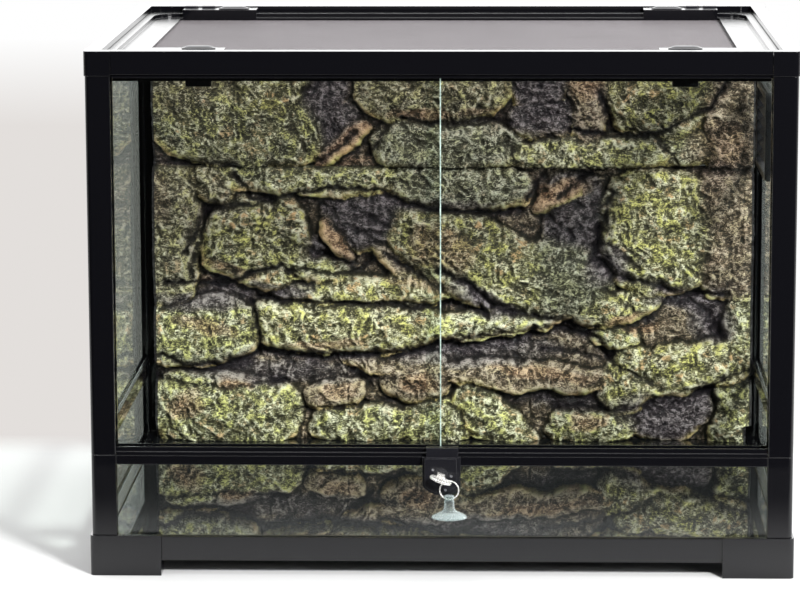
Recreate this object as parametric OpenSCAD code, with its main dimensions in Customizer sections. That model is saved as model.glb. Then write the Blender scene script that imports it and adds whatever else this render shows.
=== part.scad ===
// Front-opening reptile terrarium: a shallow glass base tray, a framed glass
// upper tank with two sliding doors, a latched screen lid and a moulded rock
// background. Origin at the centre of the footprint on the floor, +Z up,
// the doors face -Y. Sizes in millimetres.

/* [Overall] */
// Width over the corner posts
body_w = 600; // [500:10:900]
// Depth over the corner posts
body_d = 450; // [380:10:600]
// Height from the floor to the top rim
body_h = 452; // [400:2:700]
// Height of the joint between the base tray and the upper tank
base_h = 105.2; // [95:0.2:140]

/* [Corner posts] */
// Width of each leg of a corner post
post_w = 21.5; // [20:0.5:26]
// Radius of the outer corner edge
corner_r = 4.5; // [1:0.5:5]
// Thickness of the lip outside a pane
lip_t = 1.2; // [1:0.1:1.6]
// Depth that a pane enters a post
pane_grip = 8.6; // [6:0.2:9]
// Play left at each joint between frame pieces
joint_gap = 0.3; // [0.1:0.1:0.5]

/* [Glass] */
// Thickness of the fixed panes
pane_t = 3; // [2.5:0.1:3.4]
// Play on each side of a fixed pane in its groove
pane_gap = 0.2; // [0.1:0.05:0.3]
// Thickness of the sliding doors
door_t = 4; // [3:0.2:4.4]
// Thickness of the bottom pane
floor_t = 4; // [3:0.5:6]
// Overlap of the two doors at the middle
door_overlap = 13; // [6:1:30]
// Distance from the front face to the lower front pane
front_pane_in = 5.3; // [4.8:0.1:6]

/* [Feet and bottom rails] */
// Length of a foot along each side
foot_len = 59.4; // [40:1:80]
// Height of a foot
foot_h = 35; // [32:0.5:50]
// Amount a foot stands out past the posts
foot_out = 1.8; // [0.5:0.1:3]
// Height of the bottom rails above the floor
rail_z = 12.5; // [8:0.5:14]
// Height of the bottom rails' section
rail_h = 20.8; // [20:0.2:22]
// Width of a side or rear bottom rail's section
rail_w = 12; // [10:0.5:14]
// Setback of the front bottom rail from the post faces
rail_set = 3; // [2:0.5:4]

/* [Belt] */
// Height of the base tray's top rim
rim_h = 7.7; // [7:0.1:9]
// Height of the upper tank's sill
sill_h = 7; // [6.6:0.1:9]
// Thickness of the side and rear belts
belt_t = 8; // [7:0.5:9]

/* [Top frame] */
// Height of the top rails and corner caps
cap_h = 21; // [20:0.5:26]
// Width of the flat rim on top of the rails
rim_w = 13; // [12.6:0.2:15]
// Depth of the ledge that carries the lid
ledge_w = 8; // [6:0.5:9]
// Depth of the lid's seat below the rim
seat_drop = 12; // [11:0.5:14]
// Amount a corner cap stands out past the posts
cap_out = 0.8; // [0:0.1:1.2]

/* [Lid] */
// Clearance between the lid and the rim
lid_gap = 0.4; // [0.2:0.1:1]
// Thickness of the lid's outer ring
ring_t = 6.8; // [6:0.2:8]
// Width of the ring at the left and right
ring_side = 7; // [5:0.5:10]
// Width of the ring at the front and back
ring_end = 23; // [20:0.5:26]
// Depth of the recess inside the ring
recess = 3.7; // [3:0.1:4.2]
// Corner radius of the recess
recess_r = 22; // [8:1:30]
// Width of the solid plates beside the screen
plate_w = 25; // [15:1:40]
// Width of each latch block
block_w = 70; // [66:1:80]
// Distance from the lid's side edge to each latch block
block_inset = 32.6; // [30:0.1:60]
// Height of a latch block above the ring
block_up = 4; // [3:0.5:4.5]
// Depth of a latch block
block_d = 28.6; // [27:0.2:32]
// Thickness of the screen sheet
mesh_t = 0.5; // [0.3:0.1:0.6]

/* [Latches and cable ports] */
// Travel of a lid latch
latch_travel = 8; // [6:0.5:8]
// Length of a latch's oval head
knob_l = 29; // [24:1:32]
// Width of a latch's oval head
knob_w = 15; // [12:0.5:15]
// Width of a latch's hook
hook_w = 22; // [14:1:26]
// Size of the square cable hole
port_w = 20; // [12:1:20]
// Travel of a cable port's slide
port_travel = 20; // [10:1:20]
// Distance from a block's outer end to the cable hole's middle
port_in = 15; // [15:1:16]

/* [Lock] */
// Width of the lock's base
lock_w = 32.6; // [31:0.2:36]
// Height of the lock's base
lock_h = 33.2; // [32:0.2:36]
// Width of the raised plate on the lock's base
plate_lock_w = 27; // [26:0.2:28]
// Amount the lock's body stands out from the frame
lock_out = 10; // [9:0.5:12]
// Radius of the lock cylinder
cyl_r = 6; // [5:0.2:6.4]
// Rise of the bolt when the key is turned
bolt_rise = 3; // [2:0.2:3]
// Radius of the key's bow
bow_r = 9.7; // [9:0.1:11]
// Tilt of the key's bow
bow_tilt = 20; // [0:1:30]
// Outer radius of the key ring
ring_r = 8.6; // [8.4:0.1:9]
// Wire radius of the key ring
wire_r = 0.6; // [0.4:0.1:0.7]
// Radius of the suction cup's rim
cup_r = 15; // [10:0.5:15]
// Height of the suction cup
cup_h = 19; // [18:0.5:24]

/* [Side vent] */
// Height of the side vent over its bezel
vent_h = 82; // [60:1:100]
// Length of the side vent over its bezel
vent_l = 124; // [80:1:140]
// Distance from the rear face to the vent's middle
vent_back = 130; // [125:1:170]
// Distance from the top down to the vent's middle
vent_drop = 105; // [85:1:160]

/* [Rock background] */
// Room left of the background panels, from the outer face
rock_left = 13.5; // [9:0.5:20]
// Room right of the background panels, from the outer face
rock_right = 8.5; // [8.5:0.5:20]
// Share of the height under the seam between the two panels
seam_share = 0.66; // [0.5:0.01:0.8]
// Thickness of the panels at the foot of the relief
rock_base = 8; // [6:0.5:10]
// Height of the boulders over their foot, compared with the list
rock_rise = 1; // [0.7:0.05:1.1]
// Size of one facet of the relief
rock_step = 12; // [10:1:20]

/* [Hidden] */
$fn = 48;
eps = 0.01;                                  // overlap of cutting shapes
half_w = body_w / 2;
half_d = body_d / 2;

// Grooves and panes, as distances in from an outer face
groove_w = pane_t + 2 * pane_gap;            // width of a fixed pane's groove
pane_in = lip_t + pane_gap;                  // outer face to pane
leg_t = groove_w + 2 * lip_t;                // thickness of a post's leg
groove_d = pane_grip + 0.4;                  // depth of a post's groove
pane_end = post_w - pane_grip;               // outer face to a pane's edge
front_leg_t = front_pane_in + pane_t + 1.6;  // a lower front post's front leg
front_groove_in = front_pane_in - pane_gap;

// Door tracks, as distances in from the front face
door_gap = 0.3;                              // play on each side of a door
track_w = door_t + 2 * door_gap;
track_web = 1.4;
track1_in = 4.9;
track2_in = track1_in + track_w + track_web;
track_end = track2_in + track_w;
channel_in = track1_in - 0.5;                // the posts' door channel
channel_w = track_end + 0.7 - channel_in;
channel_d = 11.5;
door1_y = -half_d + track1_in + door_gap;    // front face of the left door
door2_y = -half_d + track2_in + door_gap;    // front face of the right door
door_end = half_w - (post_w - channel_d) - 0.5;

// Levels
foot_top = foot_h + 0.2;
rail_top = rail_z + rail_h;
floor_seat = rail_z + 15.2;
floor_z = floor_seat + 0.3;
rim_z = base_h - 0.1 - rim_h;                // underside of the base tray's rim
sill_z = base_h + 0.1;                       // underside of the sill
sill_top = sill_z + sill_h;
track_z = sill_top - 4.3;                    // floor of the door tracks
cap_z = body_h - cap_h;
post_top = cap_z - 0.2;
seat_z = body_h - seat_drop;                 // ledge that carries the lid
track_top = seat_z - 2.3;                    // roof of the upper door tracks
door_z = track_z + 0.3;
door_top = track_top - 4.1;
pane_foot = rail_top - 8.1;                  // lower edge of the base panes
pane_head = rim_z + 3.9;                     // upper edge of the base panes
glass_foot = sill_z + 1.8;                   // lower edge of the upper panes
glass_head = cap_z + 7;                      // upper edge of the upper panes

// Lid
lid_z = seat_z + 0.2;
lid_hw = half_w - rim_w - lid_gap;
lid_hd = half_d - rim_w - lid_gap;
ring_z = lid_z + ring_t;                     // top of the lid's ring
plate_z = ring_z - recess;
window_hw = lid_hw - ring_side - plate_w + 0.4;
window_hd = lid_hd - block_d;
block_z = ring_z + block_up;
block_out = lid_hw - block_inset;
block_mid = block_out - block_w / 2;
screen_seat = 0.8;                           // rebate under the window's edge
latch_x = block_out - 48;                    // middle of a latch's head
port_x = block_out - port_in;                // middle of a cable hole
port_y = lid_hd - 14.6;
shaft_x = 6;                                 // a latch shaft's section
shaft_y = 5;
ledge_in = half_d - rim_w - ledge_w;         // inner edge of the lid's ledge
latch_y = ledge_in - 0.5 - shaft_y / 2 - latch_travel;
hook_h = 5.5;
head_step = 0.9;                             // height of each step of a latch's head
front_lip_z = cap_z - 5.8;                   // underside of the rear track lip
rear_lip_z = seat_z - 4;                     // underside of the lid's ledge

// Lock and key
lock_x = 0.4;                                // middle of the lock's base
plate_x = lock_x - 0.7;
lock_top = base_h + 0.1;
lock_z = lock_top - lock_h;
base_out = 3;                                // thickness of the lock's base
cyl_x = 0.2;
cyl_z = lock_top - 13.3;
cyl_front = -half_d - lock_out - 0.5;
hollow_d = 3.6;                              // depth of the cam's hollow
pin_r = 0.9;                                 // the cylinder's crank pin
pin_off = bolt_rise / 2;                     // sideways and down from the axis
bolt_t = 1.3;
bolt_z = lock_top - 3.1;                     // underside of the bolt's tongue
screw_spots = [[-6.9, 3.7], [8.7, -1.7], [3.7, -13.8]];  // from the cylinder's axis
screw_r = 1.1;
blade_t = 2.2;
bow_y = cyl_front - 14.5;
bow_z = cyl_z - 1.7;
bow_t = 2;
hole_u = 4.4;                                // bow's middle to its hole
hole_r = 2.7;
hole_x = cyl_x + hole_u * cos(bow_tilt);
hole_z = bow_z - hole_u * sin(bow_tilt);
hang_x = hole_x + 3.1;                       // middle of the key ring
hang_z = hole_z - sqrt(pow(ring_r - wire_r, 2) - 3.1 * 3.1) + 0.15;
wire_z = hang_z - ring_r + wire_r;           // lowest point of the ring's wire
cup_top = wire_z + 3.3;

// The origin is at the middle of the whole outline, hanging key included,
// so the tank's own middle lies a little behind it
mid_y = (cup_r - bow_y - half_d - foot_out) / 2;

// Rock background
rock_back = half_d - rail_w - 0.6;
rock_foot = floor_z + floor_t + 0.2;
rock_head = rear_lip_z - 7;
rock_seam = 0.6;
seam_z = rock_foot + (rock_head - rock_foot) * seam_share + 4.9;
// Boulders as [x, z, half length, half height, tilt, rise], placed by eye
// on a background that spans -289 to 289 and ends 429 above the floor
UPPER_ROCKS = [
  [-246, 384, 46, 44, 0, 21], [-205, 338, 76, 36, -6, 26], [-168, 378, 27, 34, -35, 28],
  [-130, 378, 30, 40, 0, 9], [-112, 338, 26, 24, 0, 8], [-105, 319, 30, 9, 38, 17],
  [-15, 392, 70, 46, 3, 25], [-3, 320, 66, 24, 0, 26], [85, 392, 28, 36, 0, 8],
  [95, 345, 32, 18, 0, 9], [134, 372, 19, 44, 0, 20], [201, 378, 47, 46, -8, 28],
  [138, 312, 82, 16, 4, 26], [230, 317, 32, 17, 0, 15], [272, 355, 29, 76, 0, 22]];
LOWER_ROCKS = [
  [-272, 238, 29, 66, 0, 24], [-227, 282, 17, 20, 0, 15], [-131, 288, 84, 16, -2, 24],
  [-188, 225, 46, 38, -25, 29], [-154, 238, 14, 34, 20, 25], [-138, 215, 16, 16, 0, 15],
  [-110, 227, 22, 9, -59, 19], [-78, 250, 40, 30, 0, 13], [-44, 203, 33, 8, -35, 19],
  [7, 279, 64, 21, -3, 23], [28, 208, 86, 36, -28, 31], [106, 190, 46, 34, 0, 25],
  [119, 245, 28, 42, 0, 12], [105, 271, 24, 9, 30, 15], [198, 236, 51, 54, 0, 32],
  [268, 236, 33, 60, 0, 24], [-243, 137, 52, 31, 5, 27], [-102, 145, 88, 26, 0, 30],
  [37, 148, 74, 15, 8, 27], [-131, 199, 30, 11, -8, 23], [-83, 179, 79, 12, 2, 27],
  [-30, 184, 25, 18, -10, 25], [161, 161, 41, 14, 12, 25], [161, 134, 23, 12, 0, 20],
  [239, 106, 56, 22, 10, 29], [281, 145, 14, 44, 0, 18], [-220, 58, 68, 35, -4, 27],
  [-113, 76, 28, 14, 10, 19], [-87, 45, 43, 20, 0, 21], [-32, 93, 29, 22, 0, 21],
  [-63, 106, 40, 10, -8, 15], [71, 95, 74, 14, -4, 21], [47, 49, 47, 19, -40, 23],
  [-11, 48, 34, 22, 0, 18], [174, 91, 32, 26, 55, 25], [143, 44, 43, 17, 0, 21],
  [215, 60, 31, 27, 0, 13], [276, 57, 20, 36, 0, 23]];

// Frame black, a little lighter for the pieces that turn and slide
black = [0.06, 0.06, 0.07];
dark = [0.11, 0.11, 0.12];
glass = [0.75, 0.85, 0.83, 0.35];

// A profile in Y and Z, run along X from -len/2 to len/2
module along_x(len) {
  rotate([90, 0, 90]) linear_extrude(len, center = true) children();
}

// A profile in X and Z, run along Y from -len/2 to len/2
module along_y(len) {
  rotate([90, 0, 0]) linear_extrude(len, center = true) children();
}

// Moves a piece drawn about the tank's middle to its place by the origin
module at_mid() {
  translate([0, mid_y, 0]) children();
}

// A box from one corner to the other
module span(a, b) {
  translate(a) cube(b - a);
}

// Puts a piece drawn from an outer corner at (0, 0) at a corner of the tank
module at_corner(side, end) {
  mirror([side > 0 ? 1 : 0, 0, 0]) mirror([0, end > 0 ? 1 : 0, 0])
    translate([-half_w, -half_d, 0]) children();
}

// A rectangle with rounded corners, centred
module round_rect(w, h, r) {
  square([w - 2 * r, h], center = true);
  square([w, h - 2 * r], center = true);
  for (i = [-1, 1], j = [-1, 1])
    translate([i * (w / 2 - r), j * (h / 2 - r)]) circle(r);
}

// A square with one rounded corner at the origin
module corner_square(w, h, r) {
  difference() {
    square([w, h]);
    square([r, r]);
  }
  intersection() {
    translate([r, r]) circle(r);
    square([r, r]);
  }
}

// Post sections, drawn from the outer corner

module leg_section(end_t) {
  difference() {
    union() {
      corner_square(post_w, end_t, min(corner_r, end_t - eps));
      translate([0, corner_r]) square([leg_t, post_w - corner_r]);
    }
    translate([lip_t, post_w - groove_d]) square([groove_w, groove_d + eps]);
  }
}

module rear_section() {
  difference() {
    leg_section(leg_t);
    translate([post_w - groove_d, lip_t]) square([groove_d + eps, groove_w]);
  }
}

module lower_front_section() {
  difference() {
    leg_section(front_leg_t);
    translate([post_w - groove_d, front_groove_in]) square([groove_d + eps, groove_w]);
  }
}

module upper_front_section() {
  chamfer = 0.8;
  difference() {
    corner_square(post_w, post_w, corner_r);
    translate([lip_t, post_w - groove_d]) square([groove_w, groove_d + eps]);
    translate([post_w - channel_d, channel_in]) square([channel_d + eps, channel_w]);
    polygon([[post_w - chamfer, -eps], [post_w + eps, -eps], [post_w + eps, chamfer]]);
  }
}

module lower_post(side, end) {
  color(black) at_mid() at_corner(side, end) translate([0, 0, foot_top])
    linear_extrude(base_h - 0.1 - foot_top)
      if (end < 0) lower_front_section(); else rear_section();
}

module upper_post(side, end) {
  color(black) at_mid() at_corner(side, end) translate([0, 0, sill_z])
    linear_extrude(post_top - sill_z)
      if (end < 0) upper_front_section(); else rear_section();
}

// Grooves for the two panes that meet in a corner block
module pane_notches(end, low, high) {
  end_in = end < 0 ? front_groove_in : lip_t;
  span([lip_t, post_w - groove_d, low], [lip_t + groove_w, foot_len + 10, high]);
  span([post_w - groove_d, end_in, low], [foot_len + 10, end_in + groove_w, high]);
}

// A foot is an L-shaped cradle that carries a post and two bottom rails
module foot(side, end) {
  wall = post_w + 0.5;
  play = 0.2;
  end_set = end < 0 ? rail_set : 0.6;
  color(black) at_mid() at_corner(side, end) difference() {
    union() {
      translate([-foot_out, -foot_out, 0]) linear_extrude(foot_h)
        corner_square(foot_len + foot_out, wall + foot_out, corner_r);
      span([-foot_out, corner_r, 0], [wall, foot_len, foot_h]);
    }
    span([post_w + joint_gap, end_set - play, rail_z - play],
         [foot_len + eps, rail_w + 6 + play, foot_h + eps]);
    span([0.6 - play, post_w + joint_gap, rail_z - play],
         [rail_w + 6 + play, foot_len + eps, foot_h + eps]);
    span([rail_w + 0.3, rail_w + 0.3, floor_seat], [foot_len + eps, foot_len + eps, foot_h + eps]);
    pane_notches(end, pane_foot - 0.2, foot_h + eps);
  }
}

// Section of a bottom rail: distance from the outer face, height
module rail_section(set, groove_at) {
  difference() {
    union() {
      translate([set, rail_z]) square([rail_w + 0.3 - set, rail_h]);
      translate([set, floor_seat - 3.7]) square([rail_w + 6 - set, 3.7]);
    }
    translate([groove_at, pane_foot - 0.2]) square([groove_w, 20]);
  }
}

module bottom_rail_x(end) {
  len = body_w - 2 * (post_w + joint_gap);
  color(black) at_mid() mirror([0, end > 0 ? 1 : 0, 0]) translate([0, -half_d, 0]) along_x(len)
    if (end < 0) rail_section(rail_set, front_groove_in); else rail_section(0.6, lip_t);
}

module bottom_rail_y(side) {
  len = body_d - 2 * (post_w + joint_gap);
  color(black) at_mid() mirror([side > 0 ? 1 : 0, 0, 0]) translate([-half_w, 0, 0]) along_y(len)
    rail_section(0.6, lip_t);
}

module floor_glass() {
  edge = rail_w + 0.6;
  color(glass) at_mid() span([-half_w + edge, -half_d + edge, floor_z],
                    [half_w - edge, half_d - edge, floor_z + floor_t]);
}

module base_glass_x(end) {
  face = end < 0 ? -half_d + front_pane_in : half_d - pane_in - pane_t;
  color(glass) at_mid() span([-half_w + pane_end, face, pane_foot],
                    [half_w - pane_end, face + pane_t, pane_head]);
}

module base_glass_y(side) {
  color(glass) at_mid() mirror([side > 0 ? 1 : 0, 0, 0])
    span([-half_w + pane_in, -half_d + pane_end, pane_foot],
         [-half_w + pane_in + pane_t, half_d - pane_end, pane_head]);
}

// Belt: the base tray's rim and, on it, the upper tank's sill

module rim_section(width, groove_at) {
  difference() {
    translate([0, rim_z]) square([width, rim_h]);
    translate([groove_at, rim_z - eps]) square([groove_w, pane_head + 0.4 - rim_z]);
  }
}

// Room for the bolt between the front rim and the front sill
module bolt_hollow() {
  low = bolt_z - 0.3;
  span([-25, -half_d + 3, low], [13, -half_d + track_end + 1, track_z - 1.2]);
  span([cyl_x - 7.4, -half_d - 2, low], [cyl_x + 7.4, -half_d + 4, track_z - 1.2]);
}

module base_rim_front() {
  len = body_w - 2 * (post_w + joint_gap);
  color(black) at_mid() difference() {
    translate([0, -half_d, 0]) along_x(len) rim_section(track_end + 2, front_groove_in);
    bolt_hollow();
  }
}

module base_rim_rear() {
  len = body_w - 2 * (post_w + joint_gap);
  color(black) at_mid() mirror([0, 1, 0]) translate([0, -half_d, 0]) along_x(len)
    rim_section(belt_t, lip_t);
}

module base_rim_side(side) {
  len = body_d - 2 * (post_w + joint_gap);
  color(black) at_mid() mirror([side > 0 ? 1 : 0, 0, 0]) translate([-half_w, 0, 0]) along_y(len)
    rim_section(belt_t, lip_t);
}

// Front sill with two door tracks behind a stepped front
module sill_front() {
  len = body_w - 2 * (post_w + joint_gap);
  step1 = 0.8;
  step2 = 2.6;
  web_z = sill_top - 1.3;
  color(black) at_mid() difference() {
    translate([0, -half_d, 0]) along_x(len)
      polygon([[step1, sill_z], [step1, sill_z + 3], [step2, sill_z + 3], [step2, sill_top],
               [track1_in, sill_top], [track1_in, track_z],
               [track1_in + track_w, track_z], [track1_in + track_w, web_z],
               [track2_in, web_z], [track2_in, track_z], [track_end, track_z],
               [track_end, sill_top], [track_end + 2, sill_top],
               [track_end + 2, sill_top - 2.6], [post_w, sill_top - 2.6], [post_w, sill_z]]);
    bolt_hollow();
    for (p = [0, 1])
      span([prong_x(p) - 4.4, prong_y(p) - 2.2, sill_z - 1],
           [prong_x(p) + 4.4, prong_y(p) + 2.2, track_z + 1]);
  }
}

module sill_section() {
  difference() {
    translate([0, sill_z]) square([belt_t, sill_h]);
    translate([lip_t, glass_foot - 0.3]) square([groove_w, sill_h]);
  }
}

module sill_rear() {
  len = body_w - 2 * (post_w + joint_gap);
  color(black) at_mid() mirror([0, 1, 0]) translate([0, -half_d, 0]) along_x(len) sill_section();
}

module sill_side(side) {
  len = body_d - 2 * (post_w + joint_gap);
  color(black) at_mid() mirror([side > 0 ? 1 : 0, 0, 0]) translate([-half_w, 0, 0]) along_y(len)
    sill_section();
}

// Side vent in the right pane: bezel, neck and slanted slats
vent_wall = 5;
vent_r = 8;

module vent_outline(grow) {
  round_rect(vent_l + 2 * grow, vent_h + 2 * grow, vent_r + grow);
}

module side_glass(side) {
  color(glass) at_mid() difference() {
    mirror([side > 0 ? 1 : 0, 0, 0])
      span([-half_w + pane_in, -half_d + pane_end, glass_foot],
           [-half_w + pane_in + pane_t, half_d - pane_end, glass_head]);
    if (side > 0) translate([half_w, half_d - vent_back, body_h - vent_drop])
      rotate([90, 0, 90]) linear_extrude(30, center = true) vent_outline(-4.5);
  }
}

module back_glass() {
  color(glass) at_mid() span([-half_w + pane_end, half_d - pane_in - pane_t, glass_foot],
                    [half_w - pane_end, half_d - pane_in, glass_head]);
}

module side_vent() {
  inner = half_w - pane_in - pane_t;         // inner face of the right pane
  slats = 7;
  pitch = (vent_h - 2 * vent_wall) / slats;
  color(black) at_mid() translate([inner, half_d - vent_back, body_h - vent_drop]) {
    difference() {
      rotate([90, 0, 90]) {
        translate([0, 0, -3.6]) linear_extrude(3.5) vent_outline(0);
        translate([0, 0, -5.4]) linear_extrude(1.81) vent_outline(-1.2);
        translate([0, 0, -0.2]) linear_extrude(pane_t + 0.3) vent_outline(-4.7);
        translate([0, 0, pane_t + 0.05]) linear_extrude(1.2) vent_outline(-2.5);
      }
      rotate([90, 0, 90]) translate([0, 0, -10]) linear_extrude(30)
        vent_outline(-vent_wall - 1.2);
    }
    for (i = [1 : slats - 1])
      translate([-1, 0, i * pitch - (vent_h - 2 * vent_wall) / 2])
        rotate([0, -32, 0]) cube([6, vent_l - 2 * vent_wall - 1, 1.2], center = true);
  }
}

// A corner cap ties two top rails to a post and guides the pane and door ends
module corner_cap(side, end) {
  size = post_w + 0.3;
  color(black) at_mid() at_corner(side, end) difference() {
    translate([-cap_out, -cap_out, cap_z]) linear_extrude(cap_h)
      corner_square(size + cap_out, size + cap_out, corner_r);
    span([rim_w, rim_w, seat_z], [size + 1, size + 1, body_h + 1]);
    span([lip_t, post_w - groove_d, cap_z - 1], [lip_t + groove_w, size + 1, glass_head + 0.4]);
    if (end < 0)
      span([post_w - channel_d, channel_in, cap_z - 1],
           [size + 1, channel_in + channel_w, track_top]);
    else
      span([post_w - groove_d, lip_t, cap_z - 1], [size + 1, lip_t + groove_w, glass_head + 0.4]);
  }
}

// Top rail at the side or rear: groove for the pane, ledge for the lid, raised rim
module top_section() {
  difference() {
    polygon([[0, cap_z + 1], [leg_t, cap_z + 1], [leg_t, rear_lip_z],
             [rim_w + ledge_w, rear_lip_z], [rim_w + ledge_w, seat_z], [rim_w, seat_z],
             [rim_w, body_h], [0, body_h]]);
    translate([lip_t, cap_z - 1]) square([groove_w, glass_head + 1.4 - cap_z]);
  }
}

// Front top rail: fascia over two upper door tracks
module top_front_section() {
  lip2 = cap_z - 1.8;
  polygon([[0, body_h], [0, cap_z + 1.3], [2.4, cap_z + 1.3], [2.4, lip2],
           [track1_in, lip2], [track1_in, track_top],
           [track1_in + track_w, track_top], [track1_in + track_w, lip2],
           [track2_in, lip2], [track2_in, track_top],
           [track_end, track_top], [track_end, front_lip_z],
           [track_end + 2.5, front_lip_z], [track_end + 2.5, rear_lip_z],
           [rim_w + ledge_w, rear_lip_z], [rim_w + ledge_w, seat_z],
           [rim_w, seat_z], [rim_w, body_h]]);
}

module top_rail_x(end) {
  len = body_w - 2 * (post_w + 2 * joint_gap);
  color(black) at_mid() mirror([0, end > 0 ? 1 : 0, 0]) translate([0, -half_d, 0]) along_x(len)
    if (end < 0) top_front_section(); else top_section();
}

module top_rail_y(side) {
  len = body_d - 2 * (post_w + 2 * joint_gap);
  color(black) at_mid() mirror([side > 0 ? 1 : 0, 0, 0]) translate([-half_w, 0, 0]) along_y(len)
    top_section();
}

// Rock background

// Height of one rounded boulder at a point, zero outside its outline
function boulder(x, z, b) =
  let (c = cos(b[4]), s = sin(b[4]), dx = x - b[0], dz = z - b[1],
       u = abs(c * dx + s * dz) / b[2], v = abs(c * dz - s * dx) / b[3],
       r = pow(u, 2.6) + pow(v, 2.6))
  r < 1 ? b[5] * pow(1 - r, 0.45) : 0;

function relief(x, z, rocks) =
  rock_base + rock_rise * max([for (b = rocks) boulder(x, z, b)]);

// A panel: a faceted relief in front, flat back, sides and ends
module rock_panel(low, high, rocks) {
  rock_w = body_w - rock_left - rock_right;
  nx = round(rock_w / rock_step);
  nz = round((high - low) / rock_step);
  left = rock_left - half_w;
  tight = min(1, (rock_w + rock_right - rail_w - 1) / rock_w);  // between the feet
  dz = (high - low) / nz;
  row = nx + 1;
  front = [for (j = [0 : nz], i = [0 : nx])
    let (z = low + j * dz, fit = z < foot_h + rock_step ? tight : 1,
         deep = relief(i / nx * 578 - 289, z * 429 / rock_head, rocks))
    [left + i / nx * rock_w * fit, rock_back - deep, z]];
  edge = concat([for (i = [0 : nx - 1]) i], [for (j = [0 : nz - 1]) j * row + nx],
                [for (i = [nx : -1 : 1]) nz * row + i], [for (j = [nz : -1 : 1]) j * row]);
  back = [for (k = edge) [front[k][0], rock_back, front[k][2]]];
  middle = [[left + rock_w / 2, rock_back, (low + high) / 2]];
  n = len(edge);
  b = len(front);
  faces = concat(
    [for (j = [0 : nz - 1], i = [0 : nx - 1])
      [j * row + i, (j + 1) * row + i, (j + 1) * row + i + 1]],
    [for (j = [0 : nz - 1], i = [0 : nx - 1])
      [j * row + i, (j + 1) * row + i + 1, j * row + i + 1]],
    [for (k = [0 : n - 1]) [edge[k], edge[(k + 1) % n], b + (k + 1) % n, b + k]],
    [for (k = [0 : n - 1]) [b + k, b + (k + 1) % n, b + n]]);
  color([0.42, 0.45, 0.24]) at_mid() polyhedron(points = concat(front, back, middle), faces = faces);
}

// Lid

module lid_outline(hw, hd, r) {
  round_rect(2 * hw, 2 * hd, r);
}

// Ring, side plates and window, with a raised block for each latch
module lid_frame() {
  color(black) at_mid() difference() {
    union() {
      translate([0, 0, lid_z]) linear_extrude(ring_t) lid_outline(lid_hw, lid_hd, 5);
      for (i = [-1, 1], j = [-1, 1])
        translate([i * block_mid, j * (lid_hd - block_d / 2), (plate_z + block_z) / 2 - 1])
          cube([block_w, block_d, block_z - plate_z + 2], center = true);
    }
    difference() {
      translate([0, 0, plate_z]) linear_extrude(20)
        lid_outline(lid_hw - ring_side, lid_hd - ring_end, recess_r);
      for (i = [-1, 1], j = [-1, 1])
        translate([i * block_mid, j * (lid_hd - block_d / 2), block_z])
          cube([block_w, block_d, 30], center = true);
    }
    translate([0, 0, lid_z - 1]) linear_extrude(30)
      square([2 * window_hw, 2 * window_hd], center = true);
    translate([0, 0, lid_z - 1]) linear_extrude(1 + screen_seat)
      square([2 * window_hw + 10.6, 2 * window_hd + 10.6], center = true);
    for (i = [-1, 1], j = [-1, 1]) {
      latch_slot(i, j);
      arc_groove(i, j);
    }
    for (i = [-1, 1]) port_cut(i);
  }
}

// Slot that a latch's shaft runs in
module latch_slot(i, j) {
  play = 0.3;
  y_in = latch_y - shaft_y / 2 - play;
  y_out = latch_y + latch_travel + shaft_y / 2 + play;
  mirror([i > 0 ? 0 : 1, 0, 0]) mirror([0, j > 0 ? 0 : 1, 0])
    span([latch_x - shaft_x / 2 - play, y_in, lid_z - 1],
         [latch_x + shaft_x / 2 + play, y_out, block_z + 1]);
}

// Short curved groove in the ring, round each corner of the recess
module arc_groove(i, j) {
  mirror([i > 0 ? 0 : 1, 0, 0]) mirror([0, j > 0 ? 0 : 1, 0])
    translate([lid_hw - ring_side - recess_r, lid_hd - ring_end - recess_r, ring_z - 2])
      rotate([0, 0, 40]) rotate_extrude(angle = 42)
        translate([recess_r + 2.2, 0]) square([2.4, 5]);
}

// Cable hole with a T-shaped guide for its slide, open at the outer end
module port_cut(i) {
  mirror([i > 0 ? 0 : 1, 0, 0]) {
    span([port_x - port_w / 2, port_y - port_w / 2, lid_z - 1],
         [port_x + port_w / 2, port_y + port_w / 2, block_z + 1]);
    span([port_x - 15.4, port_y - 12.3, block_z - 3.5],
         [block_out + 1, port_y + 12.3, block_z - 1.5]);
    span([port_x - 15.4, port_y - 10.3, block_z - 1.6],
         [block_out + 1, port_y + 10.3, block_z + 1]);
  }
}

module lid_screen() {
  color([0.45, 0.44, 0.46]) at_mid() translate([0, 0, lid_z + screen_seat - 0.05 - mesh_t])
    linear_extrude(mesh_t) square([2 * window_hw + 10, 2 * window_hd + 10], center = true);
}

// Domed oval head, square shaft and a hook that catches under the frame
module lid_latch(i, j) {
  lip = j < 0 ? front_lip_z : rear_lip_z;
  hook_top = lip - 0.3;
  hook_out = latch_y + shaft_y / 2 + 5.8;
  color(dark) at_mid() mirror([i > 0 ? 0 : 1, 0, 0]) mirror([0, j > 0 ? 0 : 1, 0]) {
    for (k = [0:2])
      translate([latch_x, latch_y, block_z + 0.1 + k * head_step]) linear_extrude(head_step)
        round_rect(knob_l - 8 * k, knob_w - 4 * k, knob_w / 2 - 2 * k - eps);
    span([latch_x - shaft_x / 2, latch_y - shaft_y / 2, hook_top - hook_h],
         [latch_x + shaft_x / 2, latch_y + shaft_y / 2, block_z + 0.2]);
    span([latch_x - hook_w / 2, latch_y - shaft_y / 2, hook_top - hook_h],
         [latch_x + hook_w / 2, hook_out, hook_top]);
  }
}

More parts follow.
